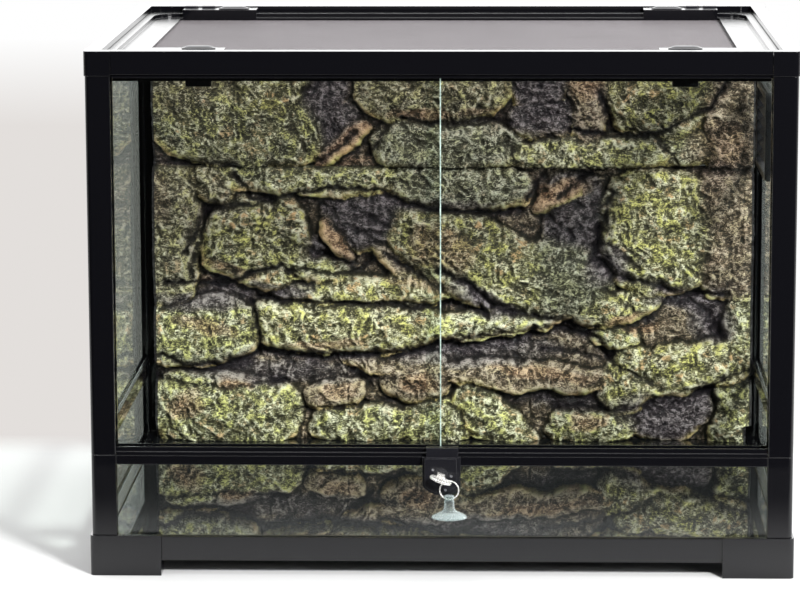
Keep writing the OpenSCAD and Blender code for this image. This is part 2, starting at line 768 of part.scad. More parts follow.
// Slide that closes a cable hole, with two finger bumps at its back edge
module port_slide(i) {
  color(dark) at_mid() mirror([i > 0 ? 0 : 1, 0, 0]) {
    span([port_x - 15, port_y - 12, block_z - 3.3], [port_x + 15, port_y + 12, block_z - 1.7]);
    span([port_x - 15, port_y - 10, block_z - 1.8], [port_x + 15, port_y + 10, block_z - 0.1]);
    for (k = [-1, 1])
      translate([port_x + k * 8.2, port_y + 5.6, block_z - 0.2])
        linear_extrude(2.4) round_rect(12.6, 7.6, 2);
  }
}

// Doors

module door_left() {
  color(glass) at_mid() span([-door_end, door1_y, door_z], [0, door1_y + door_t, door_top]);
}

module door_right() {
  color(glass) at_mid() span([-door_overlap, door2_y, door_z], [door_end, door2_y + door_t, door_top]);
}

// Lock

// Places of the bolt's two prongs: right of the left door, left of the right door
function prong_x(p) = p == 0 ? 6 : -door_overlap - 6;
function prong_y(p) = -half_d + (p == 0 ? track1_in : track2_in) + track_w / 2;

// Outline standing on the origin, square above and round below
module shield(w, h, arc_r) {
  translate([-w / 2, arc_r]) square([w, h - arc_r]);
  intersection() {
    translate([-w / 2, 0]) square([w, arc_r + eps]);
    translate([0, arc_r]) circle(arc_r, $fn = 96);
  }
}

// Body hung on the sill's lip: a base, a raised plate and a tab above,
// hollow behind for the bolt's leg
module lock_body() {
  back = -half_d - 0.1;
  low_back = -half_d + front_pane_in - 0.3;
  front = -half_d - lock_out;
  tab = cyl_x + 0.9;
  tab_w = 27.2;
  color(dark) at_mid() difference() {
    union() {
      translate([lock_x, back, lock_z]) rotate([90, 0, 0])
        linear_extrude(base_out) shield(lock_w, lock_h, 0.635 * lock_w);
      translate([plate_x, back - base_out + 1, lock_z + 3.3]) rotate([90, 0, 0])
        linear_extrude(back - base_out + 1 - front)
          shield(plate_lock_w, lock_h - 3.3, 0.635 * plate_lock_w);
      span([lock_x - lock_w / 2, back - 1, rim_z - 14],
           [lock_x + lock_w / 2, low_back, rim_z - 0.3]);
      span([tab - tab_w / 2, front + 4.8, lock_top - 1], [tab + tab_w / 2, back, sill_top + 1.3]);
      span([tab - tab_w / 2, back - 1, sill_top + 0.3],
           [tab + tab_w / 2, -half_d + track1_in - 0.4, sill_top + 1.3]);
    }
    translate([cyl_x, front - 1, cyl_z]) rotate([-90, 0, 0])
      cylinder(r = cyl_r + 0.05, h = lock_out + 4);
    span([cyl_x - 7.4, back - hollow_d, cyl_z - pin_off - 3.2],
         [cyl_x + 7.4, back + 1, bolt_z + bolt_t + bolt_rise + 0.3]);
    for (s = screw_spots)
      translate([cyl_x + s[0], front - 1, cyl_z + s[1]]) rotate([-90, 0, 0])
        cylinder(r = screw_r + 0.1, h = 3);
  }
}

module lock_screws() {
  color([0.3, 0.3, 0.32]) at_mid() for (s = screw_spots)
    translate([cyl_x + s[0], -half_d - lock_out + 0.3, cyl_z + s[1]]) rotate([-90, 0, 0])
      difference() {
        cylinder(r = screw_r, h = 1.7);
        translate([0, 0, -0.1]) cube([0.4, 1.6, 0.9], center = true);
      }
}

// Cylinder with a keyway in front and a crank pin behind
module lock_cylinder() {
  plug_back = -half_d - 0.1 - hollow_d;
  color([0.55, 0.55, 0.57]) at_mid() difference() {
    union() {
      translate([cyl_x, cyl_front, cyl_z]) rotate([-90, 0, 0])
        cylinder(r = cyl_r, h = plug_back - cyl_front);
      translate([cyl_x - pin_off, plug_back - 1, cyl_z - pin_off]) rotate([-90, 0, 0])
        cylinder(r = pin_r, h = 3.2);
    }
    translate([cyl_x, cyl_front, cyl_z]) rotate([0, bow_tilt, 0])
      cube([7.4, 11, blade_t + 0.4], center = true);
  }
}

// Bolt: a leg slotted for the crank pin, a plate inside the belt and two prongs
module lock_bolt() {
  top = bolt_z + bolt_t;
  leg_y = -half_d - hollow_d + 0.3;
  play = 0.12;
  color([0.6, 0.6, 0.62]) at_mid() {
    difference() {
      span([cyl_x - 7, leg_y, cyl_z - pin_off - 2.8], [cyl_x + 7, leg_y + 2, bolt_z + eps]);
      span([cyl_x - pin_off * sqrt(2) - pin_r - play, leg_y - 1, cyl_z - pin_off - pin_r - play],
           [cyl_x - pin_off + pin_r + play, leg_y + 3, cyl_z - pin_off + pin_r + play]);
    }
    span([cyl_x - 7, leg_y, bolt_z], [cyl_x + 7, -half_d + 5, top]);
    span([prong_x(1) - 4, -half_d + 3.6, bolt_z], [prong_x(0) + 4, -half_d + track_end, top]);
    for (p = [0, 1])
      span([prong_x(p) - 4, prong_y(p) - 1.9, top - eps],
           [prong_x(p) + 4, prong_y(p) + 1.9, track_z - 0.2]);
  }
}

// Key: blade in the keyway, and a round bow with its hole to one side
module key() {
  color([0.85, 0.85, 0.83]) at_mid() {
    translate([cyl_x, 0, cyl_z]) rotate([0, bow_tilt, 0])
      span([-3.4, bow_y + 6, -blade_t / 2], [3.4, cyl_front + 5, blade_t / 2]);
    translate([cyl_x, bow_y, bow_z]) rotate([0, bow_tilt, 0]) difference() {
      cylinder(r = bow_r, h = bow_t, center = true);
      translate([hole_u, 0, 0]) cylinder(r = hole_r, h = 3 * bow_t, center = true);
    }
    translate([cyl_x, bow_y + bow_r - 1, (cyl_z + bow_z) / 2]) rotate([0, bow_tilt, 0])
      cube([6.8, 3, blade_t + 1], center = true);
  }
}

module key_ring() {
  color([0.8, 0.8, 0.8]) at_mid() translate([hang_x, bow_y, hang_z]) rotate([90, 0, 0])
    rotate_extrude() translate([ring_r - wire_r, 0]) circle(wire_r);
}

// Hanging suction cup: eye, stem and flared lip with a hollow underside
module suction_cup() {
  foot_z = cup_top - cup_h;
  bell = [[0, 0.8], [cup_r * 0.55, 0.5], [cup_r - 1, -0.9], [cup_r, -0.6], [cup_r * 0.96, 0.5],
          [cup_r * 0.7, 2.6], [cup_r * 0.46, 4.4], [5.3, 5.8], [4.5, 7.6], [4.3, 10],
          [4.4, cup_h - 1.8], [3.9, cup_h - 0.9], [0, cup_h - 0.9]];
  color([0.92, 0.95, 0.95, 0.5]) at_mid() translate([hang_x, bow_y, foot_z + 0.9]) difference() {
    rotate_extrude() polygon(bell);
    translate([0, 0, wire_z - foot_z - 0.5]) rotate([0, 90, 0])
      cylinder(r = 1.9, h = 20, center = true);
  }
}

foot(-1, -1);  // foot_front_left
foot(1, -1);  // foot_front_right
foot(-1, 1);  // foot_rear_left
foot(1, 1);  // foot_rear_right
bottom_rail_x(-1);  // bottom_rail_front
bottom_rail_x(1);  // bottom_rail_rear
bottom_rail_y(-1);  // bottom_rail_left
bottom_rail_y(1);  // bottom_rail_right
lower_post(-1, -1);  // lower_post_front_left
lower_post(1, -1);  // lower_post_front_right
lower_post(-1, 1);  // lower_post_rear_left
lower_post(1, 1);  // lower_post_rear_right
floor_glass();
base_glass_x(-1);  // base_glass_front
base_glass_x(1);  // base_glass_rear
base_glass_y(-1);  // base_glass_left
base_glass_y(1);  // base_glass_right
base_rim_front();
base_rim_rear();
base_rim_side(-1);  // base_rim_left
base_rim_side(1);  // base_rim_right
upper_post(-1, -1);  // upper_post_front_left
upper_post(1, -1);  // upper_post_front_right
upper_post(-1, 1);  // upper_post_rear_left
upper_post(1, 1);  // upper_post_rear_right
sill_front();
sill_rear();
sill_side(-1);  // sill_left
sill_side(1);  // sill_right
side_glass(-1);  // side_glass_left
side_glass(1);  // side_glass_right
back_glass();
side_vent();
corner_cap(-1, -1);  // corner_cap_front_left
corner_cap(1, -1);  // corner_cap_front_right
corner_cap(-1, 1);  // corner_cap_rear_left
corner_cap(1, 1);  // corner_cap_rear_right
top_rail_x(-1);  // top_rail_front
top_rail_x(1);  // top_rail_rear
top_rail_y(-1);  // top_rail_left
top_rail_y(1);  // top_rail_right
rock_panel(seam_z + rock_seam, rock_head, UPPER_ROCKS);  // rock_panel_upper
rock_panel(rock_foot, seam_z, LOWER_ROCKS);  // rock_panel_lower
lid_frame();
lid_screen();
lid_latch(-1, -1);  // lid_latch_front_left
lid_latch(1, -1);  // lid_latch_front_right
lid_latch(-1, 1);  // lid_latch_rear_left
lid_latch(1, 1);  // lid_latch_rear_right
port_slide(-1);  // port_slide_left
port_slide(1);  // port_slide_right
door_left();
door_right();
lock_body();
lock_screws();
lock_cylinder();
lock_bolt();
key();
key_ring();
suction_cup();
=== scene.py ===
"""Reptile terrarium: finishes, rock, screen, latches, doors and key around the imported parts."""

import math

import bmesh
import bpy
import numpy as np
from mathutils import Matrix, Vector


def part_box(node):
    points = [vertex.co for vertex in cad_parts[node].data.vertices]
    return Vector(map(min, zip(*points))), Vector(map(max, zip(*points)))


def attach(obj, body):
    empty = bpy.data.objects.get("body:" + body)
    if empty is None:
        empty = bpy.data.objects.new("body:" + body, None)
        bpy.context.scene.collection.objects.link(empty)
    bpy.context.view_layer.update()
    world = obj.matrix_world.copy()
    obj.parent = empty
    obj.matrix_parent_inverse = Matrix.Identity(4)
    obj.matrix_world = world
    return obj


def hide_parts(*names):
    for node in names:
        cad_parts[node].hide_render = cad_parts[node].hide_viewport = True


bl_info = {
    "name": "Reptile Terrarium",
    "version": (1, 0, 0),
    "blender": (4, 5, 0),
    "location": "View3D > Sidebar > Terrarium",
    "description": "Finishes and detailed pieces for a front-opening glass terrarium",
    "category": "Add Mesh",
}

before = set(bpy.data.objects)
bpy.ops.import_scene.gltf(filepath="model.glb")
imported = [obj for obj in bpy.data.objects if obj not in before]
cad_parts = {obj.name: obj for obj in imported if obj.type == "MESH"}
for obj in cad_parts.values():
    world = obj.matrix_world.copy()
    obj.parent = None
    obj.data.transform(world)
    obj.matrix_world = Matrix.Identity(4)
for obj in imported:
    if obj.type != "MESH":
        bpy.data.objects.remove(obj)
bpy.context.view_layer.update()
MM = 0.001
CORNERS = ("front_left", "front_right", "rear_left", "rear_right")
# The tank's middle plane, between its front and rear feet
MID_Y = (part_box("foot_front_left")[0].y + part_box("foot_rear_left")[1].y) / 2


# ------------------------------------------------------------------ settings


class TerrariumLooks(bpy.types.PropertyGroup):
    """Sizes and colours a user would change"""

    wire_pitch: bpy.props.FloatProperty(
        name="Wire spacing", description="Distance between the screen's wires",
        default=1.5 * MM, min=0.8 * MM, max=4 * MM, unit="LENGTH")
    wire_width: bpy.props.FloatProperty(
        name="Wire width", description="Thickness of the screen's wires",
        default=0.26 * MM, min=0.1 * MM, max=0.4 * MM, unit="LENGTH")
    rock_pitch: bpy.props.FloatProperty(
        name="Rock detail", description="Distance between points of the rock's surface",
        default=1.34 * MM, min=1.3 * MM, max=6 * MM, unit="LENGTH")
    wrinkle: bpy.props.FloatProperty(
        name="Wrinkle depth", description="Depth of the rock's fine wrinkles",
        default=1.5 * MM, min=0, max=3 * MM, unit="LENGTH")
    arris: bpy.props.FloatProperty(
        name="Door arris", description="Width of the ground corner along a door's edges",
        default=0.9 * MM, min=0.2 * MM, max=1.5 * MM, unit="LENGTH")
    frame_colour: bpy.props.StringProperty(
        name="Frame colour", description="sRGB hex colour of the frame", default="#060608")
    moss_colour: bpy.props.StringProperty(
        name="Moss colour", description="sRGB hex colour of the rock's mossy paint",
        default="#75704c")
    rust_colour: bpy.props.StringProperty(
        name="Rust colour", description="sRGB hex colour of the rock's rusty paint",
        default="#7d5238")
    # The plum paint also carries the rock's painted shade under the ledges and at the moulding's
    # sides
    plum_colour: bpy.props.StringProperty(
        name="Plum colour", description="sRGB hex colour of the rock's dark hollows",
        default="#393034")


# ------------------------------------------------------------------- helpers


def colour(code):
    """Linear RGBA of an sRGB hex colour."""
    channels = [int(code[i:i + 2], 16) / 255 for i in (1, 3, 5)]
    return [c / 12.92 if c <= 0.04045 else ((c + 0.055) / 1.055) ** 2.4 for c in channels] + [1.0]


def new_material(name):
    """An empty node material and its output node."""
    material = bpy.data.materials.new(name)
    material.use_nodes = True
    material.node_tree.nodes.clear()
    output = material.node_tree.nodes.new("ShaderNodeOutputMaterial")
    return material, material.node_tree, output


def add_node(tree, kind, inputs=None, **settings):
    """Adds a node; inputs maps a socket's name or number to a value or to an output."""
    node = tree.nodes.new(kind)
    for name, value in settings.items():
        setattr(node, name, value)
    for key, value in (inputs or {}).items():
        if isinstance(value, bpy.types.NodeSocket):
            tree.links.new(value, node.inputs[key])
        else:
            node.inputs[key].default_value = value
    return node


def finish_mesh(bm, name, body, materials, replaced=(), smooth=True):
    """Turns a bmesh into a piece that rides on a body."""
    mesh = bpy.data.meshes.new(name)
    bm.to_mesh(mesh)
    bm.free()
    for material in materials:
        mesh.materials.append(material)
    if smooth:
        mesh.polygons.foreach_set("use_smooth", [True] * len(mesh.polygons))
    piece = bpy.data.objects.new(name, mesh)
    bpy.context.scene.collection.objects.link(piece)
    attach(piece, body)
    if replaced:
        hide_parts(*replaced)
    return piece


def cut_angle(piece, degrees=35):
    """Keeps edges sharper than this angle crisp on a smooth-shaded piece."""
    piece.data.set_sharp_from_angle(angle=math.radians(degrees))


def block(bm, low, high, bevel=0.0, segments=2):
    """A box from corner to corner with rounded edges."""
    low, high = Vector(low), Vector(high)
    size, middle = high - low, (low + high) / 2
    place = Matrix.Translation(middle) @ Matrix.Diagonal((*size, 1))
    verts = bmesh.ops.create_cube(bm, size=1, matrix=place)["verts"]
    if bevel:
        edges = list({e for v in verts for e in v.link_edges})
        bmesh.ops.bevel(bm, geom=edges, offset=bevel, segments=segments, profile=0.5,
                        affect="EDGES", material=-1)


def nodes_named(*starts):
    return [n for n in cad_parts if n.startswith(starts)]


def paint(names, material):
    """Gives CAD nodes a finish in place of the plain one."""
    for name in names:
        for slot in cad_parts[name].material_slots:
            slot.material = material


# ----------------------------------------------------------------- materials


def black_plastic(name, code, rough, wave):
    """Polished moulded ABS: a black mirror with rounded corners, dull where dust settles."""
    material, tree, output = new_material(name)
    where = add_node(tree, "ShaderNodeTexCoord").outputs["Object"]
    # Sink marks and flow waves of moulded walls are some 20 mm long
    waves = add_node(tree, "ShaderNodeTexNoise",
                     {"Vector": where, "Scale": 1 / 0.02, "Detail": 1.0})
    # Wiping haze, streaky at about 8 mm
    haze = add_node(tree, "ShaderNodeTexNoise",
                    {"Vector": where, "Scale": 1 / 0.008, "Detail": 4.0, "Roughness": 0.6})
    spread = add_node(tree, "ShaderNodeMapRange",
                      {"Value": haze.outputs["Fac"], "From Min": 0.3, "From Max": 0.75,
                       "To Min": rough * 0.8, "To Max": rough * 1.5})
    edges = add_node(tree, "ShaderNodeBevel", {"Radius": 0.9 * MM}, samples=6)
    # Faces that look up carry a dull film of dust and handling
    facing = add_node(tree, "ShaderNodeNewGeometry").outputs["True Normal"]
    upward = add_node(tree, "ShaderNodeSeparateXYZ", {"Vector": facing}).outputs["Z"]
    dull = add_node(tree, "ShaderNodeMapRange",
                    {"Value": upward, "From Min": 0.6, "From Max": 0.95,
                     "To Min": 0.0, "To Max": 0.14})
    rough_all = add_node(tree, "ShaderNodeMath",
                         {0: spread.outputs["Result"], 1: dull.outputs["Result"]})
    bump = add_node(tree, "ShaderNodeBump",
                    {"Height": waves.outputs["Fac"], "Normal": edges.outputs["Normal"],
                     "Strength": 0.5, "Distance": wave})
    shader = add_node(tree, "ShaderNodeBsdfPrincipled",
                      {"Base Color": colour(code), "Roughness": rough_all.outputs["Value"],
                       "Normal": bump.outputs["Normal"], "IOR": 1.5})
    tree.links.new(shader.outputs["BSDF"], output.inputs["Surface"])
    return material


def pane_glass(name, tint):
    """Float glass: clear, with the mirror of both faces growing towards a glancing view."""
    material, tree, output = new_material(name)
    inside = add_node(tree, "ShaderNodeNewGeometry").outputs["Backfacing"]
    # Nothing bends in a thin pane, so the far face mirrors as the near one does
    index = add_node(tree, "ShaderNodeMapRange",
                     {"Value": inside, "To Min": 1.5, "To Max": 1 / 1.5})
    mirror = add_node(tree, "ShaderNodeFresnel", {"IOR": index.outputs["Result"]})
    clear = add_node(tree, "ShaderNodeBsdfTransparent", {"Color": colour(tint)})
    where = add_node(tree, "ShaderNodeTexCoord").outputs["Object"]
    # Roller waves of float glass, about 60 mm long and a few thousandths of a mm deep
    waves = add_node(tree, "ShaderNodeTexNoise", {"Vector": where, "Scale": 1 / 0.06})
    bump = add_node(tree, "ShaderNodeBump", {"Height": waves.outputs["Fac"],
                                             "Strength": 0.15, "Distance": 0.02 * MM})
    gloss = add_node(tree, "ShaderNodeBsdfGlossy",
                     {"Roughness": 0.0, "Normal": bump.outputs["Normal"]})
    mix = add_node(tree, "ShaderNodeMixShader",
                   {0: mirror.outputs["Fac"], 1: clear.outputs["BSDF"], 2: gloss.outputs["BSDF"]})
    tree.links.new(mix.outputs["Shader"], output.inputs["Surface"])
    return material


def ground_edge():
    """Ground and polished glass edge: pale, a little green, bright along its arris, partly from a
    faint painted glow.
    """
    material, tree, output = new_material("GroundGlassEdgePaintedGlow")
    where = add_node(tree, "ShaderNodeTexCoord").outputs["Object"]
    # Grinding marks under a millimetre, drawn at 3 mm so that they show
    marks = add_node(tree, "ShaderNodeTexNoise",
                     {"Vector": where, "Scale": 1 / 0.003, "Detail": 3.0})
    tone = add_node(tree, "ShaderNodeValToRGB", {"Fac": marks.outputs["Fac"]})
    tone.color_ramp.elements[0].color = colour("#5f6d66")
    tone.color_ramp.elements[1].color = colour("#93a39b")
    tone.color_ramp.elements[0].position = 0.35
    tone.color_ramp.elements[1].position = 0.65
    # The faint emission is a painted glow along the edge
    shader = add_node(tree, "ShaderNodeBsdfPrincipled",
                      {"Base Color": tone.outputs["Color"], "Roughness": 0.3,
                       "Emission Color": colour("#b9cbc1"), "Emission Strength": 0.04})
    tree.links.new(shader.outputs["BSDF"], output.inputs["Surface"])
    return material


def floor_pane():
    """Float glass with black paint under it: a dark mirror with faint dust."""
    material, tree, output = new_material("BlackBackedGlass")
    where = add_node(tree, "ShaderNodeTexCoord").outputs["Object"]
    dust = add_node(tree, "ShaderNodeTexNoise",
                    {"Vector": where, "Scale": 1 / 0.012, "Detail": 5.0, "Roughness": 0.7})
    film = add_node(tree, "ShaderNodeMapRange",
                    {"Value": dust.outputs["Fac"], "From Min": 0.4, "From Max": 0.8,
                     "To Min": 0.0, "To Max": 0.02})
    shader = add_node(tree, "ShaderNodeBsdfPrincipled",
                      {"Base Color": colour("#141516"), "Roughness": film.outputs["Result"],
                       "IOR": 1.52})
    tree.links.new(shader.outputs["BSDF"], output.inputs["Surface"])
    return material


def coated_wire():
    """Woven aluminium wire under a thin dark coat: satin, pale where it faces the light."""
    material, tree, output = new_material("CoatedScreenWire")
    where = add_node(tree, "ShaderNodeTexCoord").outputs["Object"]
    # Tension marks in the cloth, some 70 mm long
    marks = add_node(tree, "ShaderNodeTexNoise", {"Vector": where, "Scale": 1 / 0.07,
                                                  "Detail": 2.0})
    tone = add_node(tree, "ShaderNodeMix",
                    {"Factor": marks.outputs["Fac"], "A": colour("#625e60"),
                     "B": colour("#6d696b")}, data_type="RGBA")
    shader = add_node(tree, "ShaderNodeBsdfPrincipled",
                      {"Base Color": tone.outputs["Result"], "Metallic": 0.35,
                       "Roughness": 0.34})
    tree.links.new(shader.outputs["BSDF"], output.inputs["Surface"])
    return material


def plated_metal(name, code, rough, grain):
    """Nickel or zinc plate on turned metal: bright, with fine tool marks."""
    material, tree, output = new_material(name)
    where = add_node(tree, "ShaderNodeTexCoord").outputs["Object"]
    marks = add_node(tree, "ShaderNodeTexNoise",
                     {"Vector": where, "Scale": 1 / grain, "Detail": 3.0})
    spread = add_node(tree, "ShaderNodeMapRange",
                      {"Value": marks.outputs["Fac"], "From Min": 0.3, "From Max": 0.7,
                       "To Min": rough * 0.7, "To Max": rough * 1.4})
    bump = add_node(tree, "ShaderNodeBump", {"Height": marks.outputs["Fac"],
                                             "Strength": 0.3, "Distance": 0.02 * MM})
    shader = add_node(tree, "ShaderNodeBsdfPrincipled",
                      {"Base Color": colour(code), "Metallic": 0.75,
                       "Roughness": spread.outputs["Result"], "Normal": bump.outputs["Normal"]})
    tree.links.new(shader.outputs["BSDF"], output.inputs["Surface"])
    return material


def clear_vinyl():
    """Soft clear PVC: see-through in the middle, milky and bright along its edges, partly from a
    faint painted glow.
    """
    material, tree, output = new_material("ClearSoftVinyl")
    where = add_node(tree, "ShaderNodeTexCoord").outputs["Object"]
    # Flow marks of the moulding, 3 mm
    marks = add_node(tree, "ShaderNodeTexNoise",
                     {"Vector": where, "Scale": 1 / 0.003, "Detail": 2.0})
    bump = add_node(tree, "ShaderNodeBump", {"Height": marks.outputs["Fac"],
                                             "Strength": 0.6, "Distance": 0.2 * MM})
    rim = add_node(tree, "ShaderNodeLayerWeight",
                   {"Blend": 0.42, "Normal": bump.outputs["Normal"]})
    clear = add_node(tree, "ShaderNodeBsdfTransparent", {"Color": colour("#eef3f2")})
    # The milky share carries a faint painted glow
    milk_and_glow = add_node(tree, "ShaderNodeBsdfPrincipled",
                    {"Base Color": colour("#a6b0b0"), "Roughness": 0.12, "IOR": 1.53,
                     "Emission Color": colour("#eef4f4"), "Emission Strength": 0.05,
                     "Normal": bump.outputs["Normal"]})
    share = add_node(tree, "ShaderNodeMapRange",
                     {"Value": rim.outputs["Facing"], "From Min": 0.1, "From Max": 0.85,
                      "To Min": 0.06, "To Max": 0.6})
    mix = add_node(tree, "ShaderNodeMixShader",
                   {0: share.outputs["Result"], 1: clear.outputs["BSDF"], 2: milk_and_glow.outputs["BSDF"]})
    tree.links.new(mix.outputs["Shader"], output.inputs["Surface"])
    return material


def rock_paint(looks):
    """Moulded foam, painted dark and dry-brushed: pale wiry crests over black creases, with painted
    shade under the ledges and a painted highlight along their lower lips.
    """
    material, tree, output = new_material("DryBrushedFoamRock")

    def field(name):
        return add_node(tree, "ShaderNodeAttribute", attribute_name=name).outputs["Fac"]

    def mix(factor, a, b):
        return add_node(tree, "ShaderNodeMix", {"Factor": factor, "A": a, "B": b},
                        data_type="RGBA").outputs["Result"]

    def span(value, low, high, to_low=0.0, to_high=1.0):
        return add_node(tree, "ShaderNodeMapRange",
                        {"Value": value, "From Min": low, "From Max": high,
                         "To Min": to_low, "To Max": to_high},
                        interpolation_type="SMOOTHSTEP").outputs["Result"]

    def sums(a, b, kind="ADD"):
        return add_node(tree, "ShaderNodeMath", {0: a, 1: b}, operation=kind).outputs[0]

    where = add_node(tree, "ShaderNodeTexCoord").outputs["Object"]
    # Wiry wrinkles of the mould, 3.6 mm and 2.3 mm apart: the folds of a stretched noise
    wires = []
    for size, twist, lean in ((0.0036, 0.9, 38), (0.0023, 0.7, -30)):
        place = add_node(tree, "ShaderNodeMapping",
                         {"Vector": where, "Rotation": (0, math.radians(lean), 0),
                          "Scale": (0.55, 1, 1)})
        noise = add_node(tree, "ShaderNodeTexNoise",
                         {"Vector": place.outputs["Vector"], "Scale": 1 / size, "Detail": 2.5,
                          "Roughness": 0.6, "Distortion": twist})
        fold = sums(sums(noise.outputs["Fac"], 0.5, "SUBTRACT"), 0.0, "ABSOLUTE")
        wires.append(span(fold, 0.0, 0.075, 1.0, 0.0))
    wire = sums(sums(wires[0], 0.6, "MULTIPLY"), sums(wires[1], 0.4, "MULTIPLY"))
    # Blotches of the hand-sprayed coats, 25 mm
    blotch = add_node(tree, "ShaderNodeTexNoise",
                      {"Vector": where, "Scale": 1 / 0.025, "Detail": 3.0,
                       "Roughness": 0.6}).outputs["Fac"]
    moss, rust, plum = field("moss"), field("rust"), field("plum")
    crest, hollow, brow, shade = field("crest"), field("hollow"), field("brow"), field("shade")
    body = mix(span(blotch, 0.38, 0.62), colour("#4d4a33"), colour(looks.moss_colour))
    body = mix(moss, colour("#47463a"), body)
    body = mix(rust, body, colour(looks.rust_colour))
    body = mix(plum, body, colour(looks.plum_colour))
    # The dry brush carried cream, yellow and a little tan, in patches of about 12 mm
    brush = add_node(tree, "ShaderNodeTexNoise",
                     {"Vector": where, "Scale": 1 / 0.012, "Detail": 2.0}).outputs["Fac"]
    dry = mix(span(brush, 0.46, 0.62), colour("#f4eed2"), colour("#ece68c"))
    dry = mix(span(brush, 0.43, 0.33), dry, colour("#e2b98a"))
    pale = mix(moss, colour("#cfcdb8"), dry)
    pale = mix(rust, pale, colour("#f3bd8c"))
    pale = mix(plum, pale, colour("#9d9196"))
    # On the lower lips: gold dry brush with a painted highlight, paler and lighter than the body
    gold = mix(span(blotch, 0.42, 0.58), colour("#f0c489"), colour("#e9e58a"))
    pale = mix(sums(brow, 0.8, "MULTIPLY"), pale, gold)
    body = mix(sums(brow, 0.55, "MULTIPLY"), body, colour("#a9944a"))
    # Near black where the lightness is low: the dark first coat and painted shade; lightness rises
    # on crests and swells and with the lips' painted highlight, and falls with painted shade
    deep = mix(plum, colour("#29261a"), colour("#1d191d"))
    level = sums(sums(crest, 0.5, "MULTIPLY"), sums(sums(hollow, 0.5, "SUBTRACT"), 0.6, "MULTIPLY"))
    level = sums(level, sums(sums(brow, 0.16, "MULTIPLY"), sums(shade, -0.22, "MULTIPLY")))
    strand = sums(sums(wire, 0.55, "MULTIPLY"), level)
    tint = mix(span(strand, 0.16, 0.48), deep, body)
    tint = mix(span(strand, 0.42, 0.86), tint, pale)
    bump = add_node(tree, "ShaderNodeBump", {"Height": wire, "Strength": 1.0,
                                             "Distance": 0.9 * MM})
    shader = add_node(tree, "ShaderNodeBsdfPrincipled",
                      {"Base Color": tint, "Roughness": span(plum, 0.2, 0.9, 0.6, 0.34),
                       "Normal": bump.outputs["Normal"]})
    tree.links.new(shader.outputs["BSDF"], output.inputs["Surface"])
    return material


# ---------------------------------------------------------------------- rock

# How each kind of boulder is painted: moss, rust and plum shares
COATS = {"bright": (1.0, 0.05, 0.0), "moss": (0.85, 0.0, 0.0), "olive": (0.6, 0.1, 0.05),
         "grey": (0.35, 0.0, 0.1), "rust": (0.3, 0.75, 0.15), "brown": (0.35, 0.35, 0.35),
         "plum": (0.05, 0.1, 0.95)}
# Boulders as x, z, half length, half height, tilt, rise in mm and degrees, coat
UPPER_ROCKS = (
    (-246, 384, 46, 44, 0, 21, "olive"), (-205, 338, 76, 36, -6, 26, "moss"),
    (-168, 378, 27, 34, -35, 28, "bright"), (-130, 378, 30, 40, 0, 9, "plum"),
    (-112, 338, 26, 24, 0, 8, "plum"), (-105, 319, 30, 9, 38, 17, "rust"),
    (-15, 392, 70, 46, 3, 25, "olive"), (-3, 320, 66, 24, 0, 26, "grey"),
    (85, 392, 28, 36, 0, 8, "plum"), (95, 345, 32, 18, 0, 9, "plum"),
    (134, 372, 19, 44, 0, 20, "brown"), (201, 378, 47, 46, -8, 28, "bright"),
    (138, 312, 82, 16, 4, 26, "moss"), (230, 317, 32, 17, 0, 15, "grey"),
    (272, 355, 29, 76, 0, 22, "brown"))
LOWER_ROCKS = (
    (-272, 238, 29, 66, 0, 24, "olive"), (-227, 282, 17, 20, 0, 15, "olive"),
    (-131, 288, 84, 16, -2, 24, "moss"), (-188, 225, 46, 38, -25, 29, "bright"),
    (-154, 238, 14, 34, 20, 25, "bright"), (-138, 215, 16, 16, 0, 15, "plum"),
    (-110, 227, 22, 9, -59, 19, "rust"), (-78, 250, 40, 30, 0, 13, "plum"),
    (-44, 203, 33, 8, -35, 19, "brown"), (7, 279, 64, 21, -3, 23, "grey"),
    (28, 208, 86, 36, -28, 31, "bright"), (106, 190, 46, 34, 0, 25, "grey"),
    (119, 245, 28, 42, 0, 12, "plum"), (105, 271, 24, 9, 30, 15, "rust"),
    (198, 236, 51, 54, 0, 32, "bright"), (268, 236, 33, 60, 0, 24, "brown"),
    (-243, 137, 52, 31, 5, 27, "moss"), (-102, 145, 88, 26, 0, 30, "bright"),
    (37, 148, 74, 15, 8, 27, "moss"), (-131, 199, 30, 11, -8, 23, "moss"),
    (-83, 179, 79, 12, 2, 27, "bright"), (-30, 184, 25, 18, -10, 25, "bright"),
    (161, 161, 41, 14, 12, 25, "bright"), (161, 134, 23, 12, 0, 20, "moss"),
    (239, 106, 56, 22, 10, 29, "bright"), (281, 145, 14, 44, 0, 18, "moss"),
    (-220, 58, 68, 35, -4, 27, "moss"), (-113, 76, 28, 14, 10, 19, "brown"),
    (-87, 45, 43, 20, 0, 21, "moss"), (-32, 93, 29, 22, 0, 21, "brown"),
    (-63, 106, 40, 10, -8, 15, "brown"), (71, 95, 74, 14, -4, 21, "brown"),
    (47, 49, 47, 19, -40, 23, "moss"), (-11, 48, 34, 22, 0, 18, "moss"),
    (174, 91, 32, 26, 55, 25, "bright"), (143, 44, 43, 17, 0, 21, "moss"),
    (215, 60, 31, 27, 0, 13, "plum"), (276, 57, 20, 36, 0, 23, "moss"))
